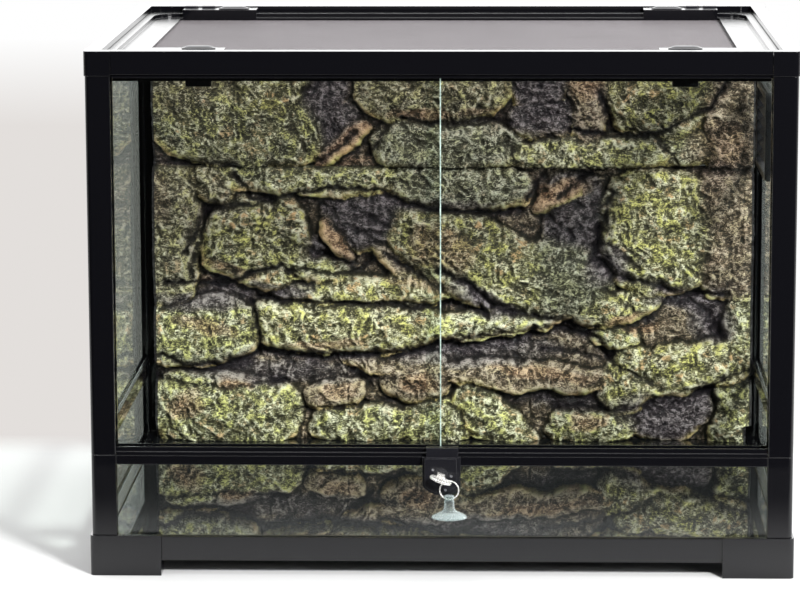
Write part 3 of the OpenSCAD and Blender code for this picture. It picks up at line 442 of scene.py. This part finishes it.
# Creases between the boulders: width, depth, then the points they pass through
CREASES = (
    (5, 12, (-206, 291), (-191, 269), (-172, 266)),
    (6, 12, (-172, 266), (-196, 262), (-234, 258), (-246, 235), (-254, 218)),
    (3.5, 9, (-160, 272), (-115, 279), (-67, 277), (-43, 264), (-10, 257), (40, 256), (66, 258)),
    (4, 9, (-244, 225), (-251, 191)),
    (4, 10, (-275, 186), (-254, 187), (-218, 183), (-191, 198), (-163, 204), (-150, 195)),
    (9, 8, (-139, 220), (-118, 211), (-100, 206)),
    (4, 8, (-153, 200), (-96, 195), (-62, 215), (-35, 198), (-10, 181)),
    (3, 9, (-184, 172), (-158, 169), (-127, 169), (-62, 166), (-34, 161), (10, 168)),
    (4, 12, (-191, 165), (-186, 140), (-184, 120)),
    (4, 9, (-184, 119), (-115, 117), (-62, 117), (-20, 124), (10, 131), (60, 135)),
    (4, 9, (-285, 116), (-277, 116), (-254, 105), (-218, 107), (-184, 118)),
    (5, 10, (-122, 305), (-91, 332)), (4, 8, (-77, 310), (-62, 335)),
    (4, 7, (-151, 340), (-139, 315)),
    (2.5, 8, (-46, 346), (-20, 342), (20, 341), (54, 343)),
    (5, 8, (-288, 304), (-245, 303), (-206, 301)),
    (5, 8, (-5, 341), (38, 346), (53, 339)),
    (3, 9, (115, 335), (177, 328), (206, 335), (249, 357), (262, 378)),
    (5, 11, (142, 372), (149, 352), (158, 337)),
    (4, 6, (55, 325), (65, 301)), (4, 7, (201, 325), (220, 301)),
    (6, 10, (67, 257), (91, 291)), (5, 10, (105, 271), (132, 291)),
    (7, 13, (156, 274), (144, 235), (139, 213), (158, 196)),
    (5, 10, (158, 196), (196, 186), (230, 176), (262, 176)),
    (4, 8, (153, 227), (168, 214), (182, 205)),
    (4, 12, (-10, 200), (19, 188), (38, 169), (67, 157), (105, 151), (127, 142), (143, 145)),
    (5, 10, (-10, 127), (38, 136), (98, 144), (143, 132), (158, 108)),
    (5, 8, (21, 186), (33, 157)), (7, 9, (230, 169), (250, 155), (261, 135)),
    (5, 8, (285, 103), (262, 92), (240, 82)), (4, 6, (-290, 92), (-215, 84), (-160, 88)),
    (4, 6, (90, 122), (150, 112), (205, 84)), (3, 5, (-150, 62), (-90, 66), (-50, 72)),
    (4, 6, (100, 62), (160, 62), (196, 70)), (5, 8, (215, 298), (292, 296)),
    (3, 5, (95, 252), (120, 232)), (3, 5, (-60, 240), (-95, 262)),
    (3, 5, (-30, 300), (-22, 283)), (3, 5, (150, 180), (190, 150)))
# Patches of one coat: x, z, half length, half height, tilt, coat, strength
PATCHES = (
    (-30, 349, 34, 5, -3, "rust", 0.8), (30, 352, 28, 5, 3, "rust", 0.5),
    (-95, 322, 24, 9, 38, "rust", 0.9), (-98, 305, 26, 4, 5, "rust", 0.7),
    (130, 388, 18, 26, 0, "rust", 0.7), (-210, 200, 34, 6, -20, "rust", 0.6),
    (-225, 189, 22, 4, -8, "rust", 0.6), (-107, 225, 13, 9, -50, "rust", 1.0),
    (-10, 222, 34, 24, -20, "rust", 0.55), (-25, 186, 36, 6, -10, "rust", 0.5),
    (105, 276, 34, 10, 15, "rust", 0.9), (70, 262, 18, 5, 20, "rust", 0.6),
    (172, 153, 26, 5, 12, "rust", 0.9), (185, 143, 22, 5, -8, "rust", 0.9),
    (255, 320, 34, 24, 0, "rust", 0.4), (-238, 146, 34, 8, -10, "rust", 0.5),
    (-120, 126, 44, 5, 0, "rust", 0.6), (-205, 89, 22, 8, 8, "rust", 0.9),
    (-260, 66, 22, 14, 20, "rust", 0.6), (-32, 88, 18, 10, 0, "rust", 0.8),
    (88, 100, 56, 6, -8, "rust", 0.7), (135, 52, 18, 8, 0, "rust", 0.6),
    (-110, 80, 22, 10, 10, "rust", 0.5), (-170, 180, 34, 8, -10, "plum", 0.7),
    (-235, 170, 50, 12, 0, "plum", 0.9), (30, 118, 80, 14, 3, "plum", 0.8),
    (-170, 98, 90, 12, 0, "plum", 0.8), (30, 170, 36, 14, -25, "plum", 0.8),
    (150, 205, 22, 22, 0, "plum", 0.8), (230, 168, 44, 12, -10, "plum", 0.8),
    (255, 145, 26, 16, 0, "plum", 0.8), (200, 62, 44, 22, 0, "plum", 0.7),
    (115, 72, 34, 14, 0, "plum", 0.7), (-150, 180, 30, 10, 20, "plum", 0.6),
    (-285, 270, 16, 26, 0, "brown", 0.7), (-10, 262, 60, 7, 0, "plum", 0.6))


def waves(x, z, cell, seed):
    """Smooth random waves of about one cell, from -1 to 1."""
    turn = np.random.RandomState(seed).uniform(0, 2 * math.pi, (256, 256))
    u, v = x / cell + 64, z / cell + 64
    i, j = np.floor(u).astype(int), np.floor(v).astype(int)
    fu, fv = u - i, v - j

    def corner(a, b):
        angle = turn[(i + a) & 255, (j + b) & 255]
        return np.cos(angle) * (fu - a) + np.sin(angle) * (fv - b)

    su, sv = fu * fu * (3 - 2 * fu), fv * fv * (3 - 2 * fv)
    low = corner(0, 0) * (1 - su) + corner(1, 0) * su
    high = corner(0, 1) * (1 - su) + corner(1, 1) * su
    return 1.4 * (low * (1 - sv) + high * sv)


def folds(x, z, cell, seed):
    """Ridges that wind about, 1 on a ridge and 0 between."""
    dx, dz = waves(x, z, cell * 1.6, seed + 1), waves(x, z, cell * 1.6, seed + 2)
    wave = waves(x + dx * cell * 0.7, z + dz * cell * 0.7, cell, seed)
    return 1 - np.clip(np.abs(wave) * 2.2, 0, 1)


def soften(grid, reach):
    """Averages a grid over a square of this many cells each way."""
    for axis in (0, 1):
        pad = [(reach + 1, reach) if a == axis else (0, 0) for a in (0, 1)]
        total = np.cumsum(np.pad(grid, pad, mode="edge"), axis=axis)
        size = grid.shape[axis]
        high = np.take(total, np.arange(2 * reach + 1, 2 * reach + 1 + size), axis=axis)
        low = np.take(total, np.arange(size), axis=axis)
        grid = (high - low) / (2 * reach + 1)
    return grid


def outline(x, z, cx, cz, length, height, tilt):
    """Depth in a rounded outline (1 in the middle, under 0 outside) and height up it."""
    c, s = math.cos(math.radians(tilt)), math.sin(math.radians(tilt))
    u = (c * (x - cx) + s * (z - cz)) / length
    v = (c * (z - cz) - s * (x - cx)) / height
    return 1 - np.abs(u) ** 2.6 - np.abs(v) ** 2.6, v


def crease_depth(x, z):
    """Depth in mm of the nearest creases."""
    depth = np.zeros_like(x)
    for width, deep, *points in CREASES:
        for (ax, az), (bx, bz) in zip(points, points[1:]):
            dx, dz = bx - ax, bz - az
            t = np.clip(((x - ax) * dx + (z - az) * dz) / (dx * dx + dz * dz), 0, 1)
            gap = np.hypot(x - ax - t * dx, z - az - t * dz) / width
            depth = np.maximum(depth, 0.8 * deep * np.exp(-gap ** 1.3))
    return depth


def overhang(surface, cell, reach):
    """How far in mm the rock within reach above each point stands out over it."""
    drop = np.zeros_like(surface)
    for k in range(1, round(reach / cell) + 1):
        above = np.vstack((surface[k:], np.repeat(surface[-1:], k, axis=0)))
        drop = np.maximum(drop, (above - surface) * (1 - k * cell / (reach * 1.3)))
    return drop


def strings(x, z, cell, seed):
    """Stringy ridges that mostly run askew, as on crumpled foil."""
    c, s = math.cos(-0.5), math.sin(-0.5)
    along, across = (c * x + s * z) / 1.8, c * z - s * x
    across = across + 1.5 * cell * waves(x, z, 4 * cell, seed + 5)
    return folds(along, across, cell, seed)


def relief(x, z, rocks, wrinkle, cell):
    """Height in mm over the panel's back and the paint fields, on a grid."""
    # The boulders' outlines wander, in waves from 42 mm down to 7 mm long
    wx = x + 6 * waves(x, z, 42, 1) + 3.4 * waves(x, z, 15, 2) + 1.5 * waves(x, z, 7, 3)
    wz = z + 5 * waves(x, z, 38, 4) + 2.8 * waves(x, z, 14, 5) + 1.3 * waves(x, z, 7, 6)
    # Height between the boulders, and how far in mm they melt into each other
    floor, blur = 11.0, 1.8
    total = np.full_like(x, math.exp(floor / blur))
    top = np.full_like(x, floor)
    brow = np.zeros_like(x)
    coats = [total * c for c in COATS["brown"]]
    for cx, cz, length, height, tilt, rise, coat in rocks:
        depth, up = outline(wx, wz, cx, cz, length * 1.14, height * 1.18, tilt)
        body = np.clip(depth, 0, 1)
        # Each boulder leans out towards its lower edge, and grows into its neighbours
        lift = floor + 0.86 * rise * body ** 0.5 * (0.86 - 0.16 * np.clip(up, -1, 1))
        share = np.where(depth > 0, np.exp(lift / blur), 0)
        for k in range(3):
            coats[k] += share * COATS[coat][k]
        total += share
        # Along the lower edge of the boulder on top: yellow dry brush with a painted highlight
        lip = np.exp(-(body * height / 8) ** 2) * np.clip(-up * 2 - 0.3, 0, 1)
        brow = np.where(lift > top, lip, brow)
        top = np.maximum(top, np.where(depth > 0, lift, floor))
    coats = [soften(c / total, round(3 / cell)) for c in coats]
    top = blur * np.log(total)
    # Stringy ridges and swells, from 27 mm down to 9 mm apart
    top += 2.6 * (strings(wx, wz, 27, 7) - 0.35) + 2.4 * waves(wx, wz, 21, 9)
    top += 2.2 * (strings(wz, wx, 11, 11) - 0.35) + 1.3 * waves(wx, wz, 9, 10)
    cut = crease_depth(x + 2.4 * waves(x, z, 15, 12) + 1.2 * waves(x, z, 5, 14),
                       z + 2.0 * waves(x, z, 13, 13) + 1.1 * waves(x, z, 5, 15))
    top = np.clip(top - cut, 3, 37.5)
    fine = wrinkle * (strings(x, z, 4.6, 16) + 0.7 * strings(z, x, 3.4, 26) - 0.6)
    surface = np.clip(top + fine, 2.5, 39.6)
    for cx, cz, length, height, tilt, coat, strength in PATCHES:
        depth = np.clip(outline(wx, wz, cx, cz, length, height, tilt)[0], 0, 1) ** 0.5 * strength
        for k in range(3):
            coats[k] = coats[k] * (1 - depth) + COATS[coat][k] * depth
    # Painted shade: rock standing out above a point darkens it, adds to the plum coat and thins the
    # moss; plum also grows with a crease's depth
    shade = np.clip(overhang(soften(surface, 1), cell, 15) / 11, 0, 1) ** 1.3
    coats[2] = np.clip(coats[2] + 0.9 * shade + cut / 18, 0, 1)
    coats[0] = coats[0] * (1 - 0.8 * shade)
    near = surface - soften(surface, max(1, round(2.4 / cell)))
    wide = surface - soften(surface, max(1, round(10 / cell)))
    fields = {"moss": coats[0], "rust": coats[1], "plum": coats[2], "shade": shade,
              "brow": np.clip(brow, 0, 1),
              "crest": np.clip(0.5 + near / (2.4 * wrinkle), 0, 1),
              "hollow": np.clip(0.5 + wide / 12, 0, 1)}
    return surface, fields


class TERRARIUM_OT_rock(bpy.types.Operator):
    """Moulded rock background: two relief panels with a seam between them"""

    bl_idname = "terrarium.rock"
    bl_label = "Rock background"

    def execute(self, context):
        looks = context.scene.terrarium_looks
        material = rock_paint(looks)
        for node, rocks in (("rock_panel_upper", UPPER_ROCKS), ("rock_panel_lower", LOWER_ROCKS)):
            self.panel(node, rocks, looks, material)
        return {"FINISHED"}

    def panel(self, node, rocks, looks, material):
        low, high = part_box(node)
        width, tall = high.x - low.x, high.z - low.z
        # The upper panel is under 200 mm tall, and has a closer grid
        closer, low_panel = 0.86, 200 * MM
        pitch = looks.rock_pitch * (closer if tall < low_panel else 1)
        columns, rows = round(width / pitch), round(tall / pitch)
        bm = bmesh.new()
        bmesh.ops.create_grid(bm, x_segments=columns, y_segments=rows, size=0.5)
        rim = [e for e in bm.edges if e.is_boundary]
        grown = bmesh.ops.extrude_edge_only(bm, edges=rim)["geom"]
        back = [g for g in grown if isinstance(g, bmesh.types.BMVert)]
        bmesh.ops.translate(bm, verts=back, vec=(0, 0, -1))
        bmesh.ops.contextual_create(bm, geom=[e for e in bm.edges if e.is_boundary])
        spots = np.array([v.co for v in bm.verts])
        u, v, flat = spots[:, 0] + 0.5, spots[:, 1] + 0.5, spots[:, 2] < -0.5
        count = (round(u.max() / (u[u > 1e-6].min())) + 1, round(v.max() / (v[v > 1e-6].min())) + 1)
        i = np.round(u * (count[0] - 1)).astype(int)
        j = np.round(v * (count[1] - 1)).astype(int)
        gx, gz = np.meshgrid(np.linspace(low.x, high.x, count[0]) / MM,
                             np.linspace(low.z, high.z, count[1]) / MM)
        surface, fields = relief(gx, gz, rocks, looks.wrinkle / MM, width / MM / (count[0] - 1))
        # The moulding's cut sides are dark: the foam's first coat, with full painted shade
        for name, grid in fields.items():
            grid[:, (0, 1, -2, -1)] = 1.0 if name in ("plum", "shade") else 0.0
        # Low down the moulding ends short of the base's right side
        base_top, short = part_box("foot_front_left")[1].z + 12 * MM, 5.4 * MM
        z = low.z + v * tall
        narrow = np.where(z < base_top, 1 - short / width, 1.0)
        x = low.x + u * width * narrow
        y = np.where(flat, high.y, high.y - surface[j, i] * MM)
        for vert, spot in zip(bm.verts, np.column_stack((x, y, z))):
            vert.co = spot
        bmesh.ops.recalc_face_normals(bm, faces=bm.faces)
        piece = finish_mesh(bm, node.replace("panel", "relief"),
                            "tank", [material], [node])
        for name, grid in fields.items():
            layer = piece.data.attributes.new(name, "FLOAT", "POINT")
            layer.data.foreach_set("value", grid[j, i].astype(np.float32))
        cut_angle(piece, 75)


# --------------------------------------------------------------- other pieces


class TERRARIUM_OT_frame(bpy.types.Operator):
    """Finishes of the moulded frame, the lid frame, the vent and the lock's plain parts"""

    bl_idname = "terrarium.frame"
    bl_label = "Frame finishes"

    def execute(self, context):
        looks = context.scene.terrarium_looks
        gloss = black_plastic("PolishedBlackAbs", looks.frame_colour, 0.05, 0.008 * MM)
        satin = black_plastic("MouldedCharcoalAbs", "#101013", 0.14, 0.03 * MM)
        vent = black_plastic("MouldedVentAbs", "#121214", 0.28, 0.05 * MM)
        zinc = plated_metal("ZincPlatedSteel", "#8c8c90", 0.3, 0.0015)
        paint(nodes_named("foot_", "bottom_rail_", "lower_post_", "base_rim_", "upper_post_",
                          "sill_", "corner_cap_", "top_rail_", "lid_frame"), gloss)
        paint(["side_vent"], vent)
        paint(nodes_named("port_slide_") + ["lock_body"], satin)
        paint(["lock_screws", "lock_bolt"], zinc)
        paint(["lock_cylinder"], plated_metal("TurnedDarkZinc", "#3a3a3d", 0.22, 0.001))
        return {"FINISHED"}


class TERRARIUM_OT_glass(bpy.types.Operator):
    """Fixed panes, the dark floor pane and the two sliding doors with ground edges"""

    bl_idname = "terrarium.glass"
    bl_label = "Glass"

    def execute(self, context):
        looks = context.scene.terrarium_looks
        clear = pane_glass("ClearFloatGlass", "#f9fcfa")
        paint(nodes_named("base_glass_", "side_glass_", "back_glass"), clear)
        paint(["floor_glass"], floor_pane())
        edge = ground_edge()
        for node in ("door_left", "door_right"):
            low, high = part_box(node)
            bm = bmesh.new()
            block(bm, low, high)
            upright = [e for e in bm.edges if abs(e.verts[0].co.z - e.verts[1].co.z) > 0.01]
            bmesh.ops.bevel(bm, geom=upright, offset=looks.arris, segments=1, profile=0.5,
                            affect="EDGES", material=-1)
            meeting = high.x if node == "door_left" else low.x
            for face in bm.faces:
                middle = face.calc_center_median()
                ground = node == "door_left" and abs(middle.x - meeting) < 2 * MM
                face.material_index = 1 if ground else 0
            finish_mesh(bm, node + "_pane", node, [clear, edge], [node],
                        smooth=False)
        return {"FINISHED"}


class TERRARIUM_OT_screen(bpy.types.Operator):
    """Lid screen: two layers of fine wires held in the frame's rebate"""

    bl_idname = "terrarium.screen"
    bl_label = "Lid screen"

    def execute(self, context):
        looks = context.scene.terrarium_looks
        low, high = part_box("lid_screen")
        pitch, half = looks.wire_pitch, looks.wire_width / 2
        middle = (low.z + high.z) / 2
        bm = bmesh.new()
        for axis in (0, 1):
            level = middle + half * (1 if axis else -1) * 0.9
            count = int((high[axis] - low[axis]) / pitch)
            for i in range(count + 1):
                at = low[axis] + (i + 0.5) * (high[axis] - low[axis]) / (count + 1)
                a, b = low.copy(), high.copy()
                a[axis], b[axis] = at - half, at + half
                a.z, b.z = level - half, level + half
                block(bm, a, b)
        finish_mesh(bm, "lid_screen_wires", "lid", [coated_wire()],
                    ["lid_screen"], smooth=False)
        return {"FINISHED"}


class TERRARIUM_OT_latches(bpy.types.Operator):
    """Four lid latches: domed oval head, shaft and hook"""

    bl_idname = "terrarium.latches"
    bl_label = "Lid latches"

    def execute(self, context):
        material = black_plastic("PolishedLatchAbs", "#0f0f12", 0.06, 0.03 * MM)
        for corner in CORNERS:
            node = "lid_latch_" + corner
            low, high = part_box(node)
            self.latch(node, low, high, (low.x + high.x) / 2, corner.startswith("front"), material)
        return {"FINISHED"}

    def latch(self, node, low, high, x, front, material):
        side = -1 if front else 1
        # Width of the oval head, and half of what its length has over that
        head_w, stretch = 15.0 * MM, 7.0 * MM
        shaft_x, shaft_y = 3 * MM, 2.5 * MM
        hook_half, hook_reach, hook_tall = 11 * MM, 8.3 * MM, 5.5 * MM
        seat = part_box("lid_frame")[1].z + 0.1 * MM
        tall = high.z - seat
        inner = high.y if front else low.y       # the head overhangs the shaft inwards
        y = inner + side * head_w / 2
        bm = bmesh.new()
        # A flat oval flange, then a shorter dome lifted and drawn in step by step
        rim = bmesh.ops.create_circle(bm, cap_ends=True, segments=40, radius=head_w / 2)["verts"]
        for v in rim:
            v.co.x += math.copysign(stretch, v.co.x) if abs(v.co.x) > 1e-5 else 0
            v.co += Vector((x, y, seat))
        grown = bmesh.ops.extrude_face_region(bm, geom=bm.faces[:])["geom"]
        face = [g for g in grown if isinstance(g, bmesh.types.BMFace)][0]
        bmesh.ops.translate(bm, verts=face.verts, vec=(0, 0, tall * 0.3))
        dome_from, shoulder, steps = tall * 0.34, 1.6 * MM, 7
        arc = [k / steps * math.pi / 2 for k in range(steps)]
        moves = [(0.4 * MM, tall * 0.04)]
        for a, b in zip(arc, arc[1:]):
            draw = (math.cos(a) - math.cos(b)) * head_w * 0.42 + (shoulder if a == 0 else 0)
            moves.append((draw, (math.sin(b) - math.sin(a)) * (tall - dome_from)))
        for draw, rise in moves:
            bmesh.ops.inset_region(bm, faces=[face], thickness=draw, depth=0)
            bmesh.ops.translate(bm, verts=face.verts, vec=(0, 0, rise))
        block(bm, (x - shaft_x, y - shaft_y, low.z),
              (x + shaft_x, y + shaft_y, seat + 0.1 * MM), 0.3 * MM)
        near, far = y - side * shaft_y, y + side * hook_reach
        block(bm, (x - hook_half, min(near, far), low.z),
              (x + hook_half, max(near, far), low.z + hook_tall), 0.8 * MM)
        bmesh.ops.recalc_face_normals(bm, faces=bm.faces)
        piece = finish_mesh(bm, node + "_piece", node, [material], [node])
        cut_angle(piece, 40)


class TERRARIUM_OT_key(bpy.types.Operator):
    """Key, key ring and the clear suction cup that hangs on it"""

    bl_idname = "terrarium.key"
    bl_label = "Key and ring"

    def execute(self, context):
        nickel = plated_metal("NickelPlatedBrass", "#e6e4df", 0.24, 0.0012)
        self.key(nickel)
        self.ring(nickel)
        paint(["suction_cup"], clear_vinyl())
        return {"FINISHED"}

    def key(self, material):
        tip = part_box("key")[1].y
        ring_low, ring_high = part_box("key_ring")
        y = (ring_low.y + ring_high.y) / 2
        # The key's axis is the cylinder's, 6 mm under its top, and its bow is turned askew
        x, z = 0.2 * MM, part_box("lock_cylinder")[1].z - 6 * MM
        tilt = Matrix.Rotation(math.radians(20), 4, "Y")
        bow_r, bow_thick, bow_drop = 9.7 * MM, 2 * MM, 1.7 * MM
        hole_r, hole_off = 2.7 * MM, 4.4 * MM
        bm = bmesh.new()
        bmesh.ops.create_circle(bm, segments=48, radius=bow_r)
        hole = bmesh.ops.create_circle(bm, segments=48, radius=hole_r)["verts"]
        bmesh.ops.translate(bm, verts=hole, vec=(hole_off, 0, 0))
        bmesh.ops.bridge_loops(bm, edges=bm.edges[:])
        top = bmesh.ops.extrude_face_region(bm, geom=bm.faces[:])["geom"]
        bmesh.ops.translate(bm, verts=[g for g in top if isinstance(g, bmesh.types.BMVert)],
                            vec=(0, 0, bow_thick))
        bmesh.ops.translate(bm, verts=bm.verts, vec=(0, 0, -bow_thick / 2))
        bmesh.ops.recalc_face_normals(bm, faces=bm.faces)
        rims = [e for e in bm.edges if len(e.link_faces) == 2 and e.calc_face_angle(0) > 1.0]
        bmesh.ops.bevel(bm, geom=rims, offset=0.4 * MM, segments=3, profile=0.5,
                        affect="EDGES", material=-1)
        bmesh.ops.transform(bm, matrix=Matrix.Translation((x, y, z - bow_drop)) @ tilt,
                            verts=bm.verts)
        # The blade runs to the tip, with a thicker shoulder behind the bow
        blade = bmesh.new()
        block(blade, (-3.4 * MM, y + 6 * MM, -1.1 * MM), (3.4 * MM, tip, 1.1 * MM), 0.25 * MM)
        block(blade, (-3.2 * MM, y + 7.4 * MM, -1.6 * MM), (3.2 * MM, y + 10.0 * MM, 1.4 * MM),
              0.4 * MM)
        bmesh.ops.transform(blade, matrix=Matrix.Translation((x, 0, z)) @ tilt, verts=blade.verts)
        spare = bpy.data.meshes.new("blade")
        blade.to_mesh(spare)
        blade.free()
        bm.from_mesh(spare)
        bpy.data.meshes.remove(spare)
        piece = finish_mesh(bm, "key_piece", "key", [material], ["key"])
        cut_angle(piece, 40)

    def ring(self, material):
        low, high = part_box("key_ring")
        middle = (low + high) / 2
        wire = (high.y - low.y) / 2
        bm = bmesh.new()
        profile = bmesh.ops.create_circle(bm, segments=12, radius=wire)["verts"]
        bmesh.ops.translate(bm, verts=profile, vec=((high.x - low.x) / 2 - wire, 0, 0))
        # The wire's round section turns full circle about the ring's middle
        bmesh.ops.spin(bm, geom=bm.edges[:], cent=(0, 0, 0), axis=(0, 1, 0), dvec=(0, 0, 0),
                       angle=2 * math.pi, steps=72, use_merge=True)
        bmesh.ops.recalc_face_normals(bm, faces=bm.faces)
        bmesh.ops.translate(bm, verts=bm.verts, vec=middle)
        finish_mesh(bm, "key_ring_piece", "key_ring", [material], ["key_ring"])


class TERRARIUM_OT_studio(bpy.types.Operator):
    """Paper sheet, soft lights and the camera"""

    bl_idname = "terrarium.studio"
    bl_label = "Studio"

    def execute(self, context):
        self.sheet()
        self.sky(context)
        self.lights()
        self.camera(context)
        context.scene.view_settings.view_transform = "Standard"
        return {"FINISHED"}

    def sheet(self):
        material, tree, output = new_material("WhitePaperSheet")
        where = add_node(tree, "ShaderNodeTexCoord").outputs["Object"]
        axes = add_node(tree, "ShaderNodeSeparateXYZ", {"Vector": where}).outputs
        # The sheet darkens in front of the tank, so that the frame mirrors a dark room
        front, dark, pale = MID_Y - 0.225, 0.33, 0.03
        near = add_node(tree, "ShaderNodeMapRange",
                        {"Value": axes["Y"], "From Min": front - dark, "From Max": front - pale,
                         "To Min": 0.03, "To Max": 1.0}, interpolation_type="SMOOTHSTEP")
        tone = add_node(tree, "ShaderNodeMix",
                        {"Factor": near.outputs["Result"], "A": colour("#050505"),
                         "B": colour("#a8a8a8")}, data_type="RGBA")
        paper = add_node(tree, "ShaderNodeBsdfPrincipled",
                         {"Base Color": tone.outputs["Result"], "Roughness": 0.9})
        # Behind the tank the camera sees a glowing backdrop, with painted shade grey low down on
        # the left
        ramp = add_node(tree, "ShaderNodeMapRange",
                        {"Value": axes["Y"], "From Min": MID_Y + 3.0, "From Max": MID_Y + 4.6})
        side = add_node(tree, "ShaderNodeMapRange",
                        {"Value": axes["X"], "From Min": -0.2, "From Max": 0.3},
                        interpolation_type="SMOOTHSTEP")
        white = add_node(tree, "ShaderNodeMath",
                         {0: ramp.outputs["Result"], 1: side.outputs["Result"]},
                         operation="MAXIMUM")
        grey = add_node(tree, "ShaderNodeMix",
                        {"Factor": white.outputs["Value"], "A": colour("#e3dfdc"),
                         "B": colour("#ffffff")}, data_type="RGBA")
        backdrop = add_node(tree, "ShaderNodeEmission", {"Color": grey.outputs["Result"]})
        far = add_node(tree, "ShaderNodeMapRange",
                       {"Value": axes["Y"], "From Min": MID_Y + 0.27, "From Max": MID_Y + 0.36})
        seen = add_node(tree, "ShaderNodeLightPath").outputs["Is Camera Ray"]
        share = add_node(tree, "ShaderNodeMath", {0: far.outputs["Result"], 1: seen},
                         operation="MULTIPLY")
        shader = add_node(tree, "ShaderNodeMixShader",
                          {0: share.outputs["Value"], 1: paper.outputs["BSDF"],
                           2: backdrop.outputs["Emission"]})
        tree.links.new(shader.outputs["Shader"], output.inputs["Surface"])
        # The sheet is 14 m square and starts 0.44 m in front of the tank
        across, ahead = 14, 0.44
        bm = bmesh.new()
        bmesh.ops.create_grid(bm, x_segments=8, y_segments=8, size=0.5)
        for v in bm.verts:
            v.co = Vector((v.co.x * across, front - ahead + (v.co.y + 0.5) * across, 0))
        mesh = bpy.data.meshes.new("sheet")
        bm.to_mesh(mesh)
        bm.free()
        mesh.materials.append(material)
        sheet = bpy.data.objects.new("studio_sheet", mesh)
        bpy.context.scene.collection.objects.link(sheet)

    def sky(self, context):
        world = bpy.data.worlds.new("Studio")
        context.scene.world = world
        world.use_nodes = True
        tree = world.node_tree
        tree.nodes.clear()
        # White walls behind and beside, a dark room in front
        where = add_node(tree, "ShaderNodeTexCoord").outputs["Generated"]
        axes = add_node(tree, "ShaderNodeSeparateXYZ", {"Vector": where}).outputs
        wall = add_node(tree, "ShaderNodeMapRange",
                        {"Value": axes["Y"], "From Min": -0.25, "From Max": 0.15,
                         "To Min": 0.012, "To Max": 2.5}, interpolation_type="SMOOTHSTEP")
        shader = add_node(tree, "ShaderNodeBackground",
                          {"Color": colour("#ffffff"), "Strength": wall.outputs["Result"]})
        add_node(tree, "ShaderNodeOutputWorld", {"Surface": shader.outputs["Background"]})

    def lights(self):
        def softbox(name, place, aim, width, height, power, mirrored):
            light = bpy.data.lights.new(name, "AREA")
            light.shape, light.size, light.size_y = "RECTANGLE", width, height
            light.energy = power
            lamp = bpy.data.objects.new(name, light)
            bpy.context.scene.collection.objects.link(lamp)
            lamp.location = place
            lamp.rotation_mode = "QUATERNION"
            way = Vector(aim) - Vector(place)
            lamp.rotation_quaternion = way.to_track_quat("-Z", "Y")
            lamp.visible_glossy = mirrored

        # A lamp that isn't mirrored lights the pieces without showing in their gloss
        softbox("overhead", (0.1, -0.35, 1.75), (0, 0, 0.1), 1.8, 1.2, 26, True)
        softbox("key", (1.2, -2.3, 1.6), (0, 0.1, 0.25), 0.4, 0.4, 235, False)
        softbox("right_panel", (1.9, -1.9, 1.1), (0, 0.1, 0.25), 0.9, 1.2, 50, True)
        softbox("left_panel", (-2.0, -1.6, 1.0), (0, 0.1, 0.25), 0.6, 1.2, 14, True)

    def camera(self, context):
        lens = bpy.data.cameras.new("camera")
        # Focal length in pixels, on a picture of this width
        focal, picture, sensor = 3575.3, 800, 36
        lens.sensor_fit, lens.sensor_width = "HORIZONTAL", sensor
        lens.lens = focal / picture * sensor
        lens.clip_start, lens.clip_end = 0.05, 60
        lens.dof.use_dof = False
        view = bpy.data.objects.new("camera", lens)
        context.scene.collection.objects.link(view)
        # Fitted to the photograph's frame corners: radians, then metres
        roll, pitch, yaw = -0.0029, 0.1679, -0.0326
        place = (0.06271, MID_Y - 3.21056, 0.7488)
        turned = (Matrix.Rotation(roll, 3, "Y") @ Matrix.Rotation(pitch, 3, "X")
                  @ Matrix.Rotation(yaw, 3, "Z"))
        right, ahead, up = turned[0], turned[1], turned[2]
        basis = Matrix((right, up, -ahead)).transposed()
        view.matrix_world = Matrix.Translation(place) @ basis.to_4x4()
        context.scene.camera = view


# ------------------------------------------------------------------ interface


class TERRARIUM_PT_panel(bpy.types.Panel):
    """Lists the terrarium's pieces"""

    bl_label = "Terrarium"
    bl_idname = "TERRARIUM_PT_panel"
    bl_space_type = "VIEW_3D"
    bl_region_type = "UI"
    bl_category = "Terrarium"

    def draw(self, context):
        layout = self.layout
        for name in TerrariumLooks.__annotations__:
            layout.prop(context.scene.terrarium_looks, name)
        for operator in OPERATORS:
            layout.operator(operator.bl_idname)


OPERATORS = (TERRARIUM_OT_frame, TERRARIUM_OT_glass, TERRARIUM_OT_rock, TERRARIUM_OT_screen,
             TERRARIUM_OT_latches, TERRARIUM_OT_key, TERRARIUM_OT_studio)
CLASSES = (TerrariumLooks, *OPERATORS, TERRARIUM_PT_panel)


def register():
    for cls in CLASSES:
        bpy.utils.register_class(cls)
    bpy.types.Scene.terrarium_looks = bpy.props.PointerProperty(type=TerrariumLooks)


def unregister():
    del bpy.types.Scene.terrarium_looks
    for cls in reversed(CLASSES):
        bpy.utils.unregister_class(cls)


def main():
    register()
    bpy.ops.terrarium.frame()
    bpy.ops.terrarium.glass()
    bpy.ops.terrarium.rock()
    bpy.ops.terrarium.screen()
    bpy.ops.terrarium.latches()
    bpy.ops.terrarium.key()
    bpy.ops.terrarium.studio()


if __name__ == "__main__":
    main()
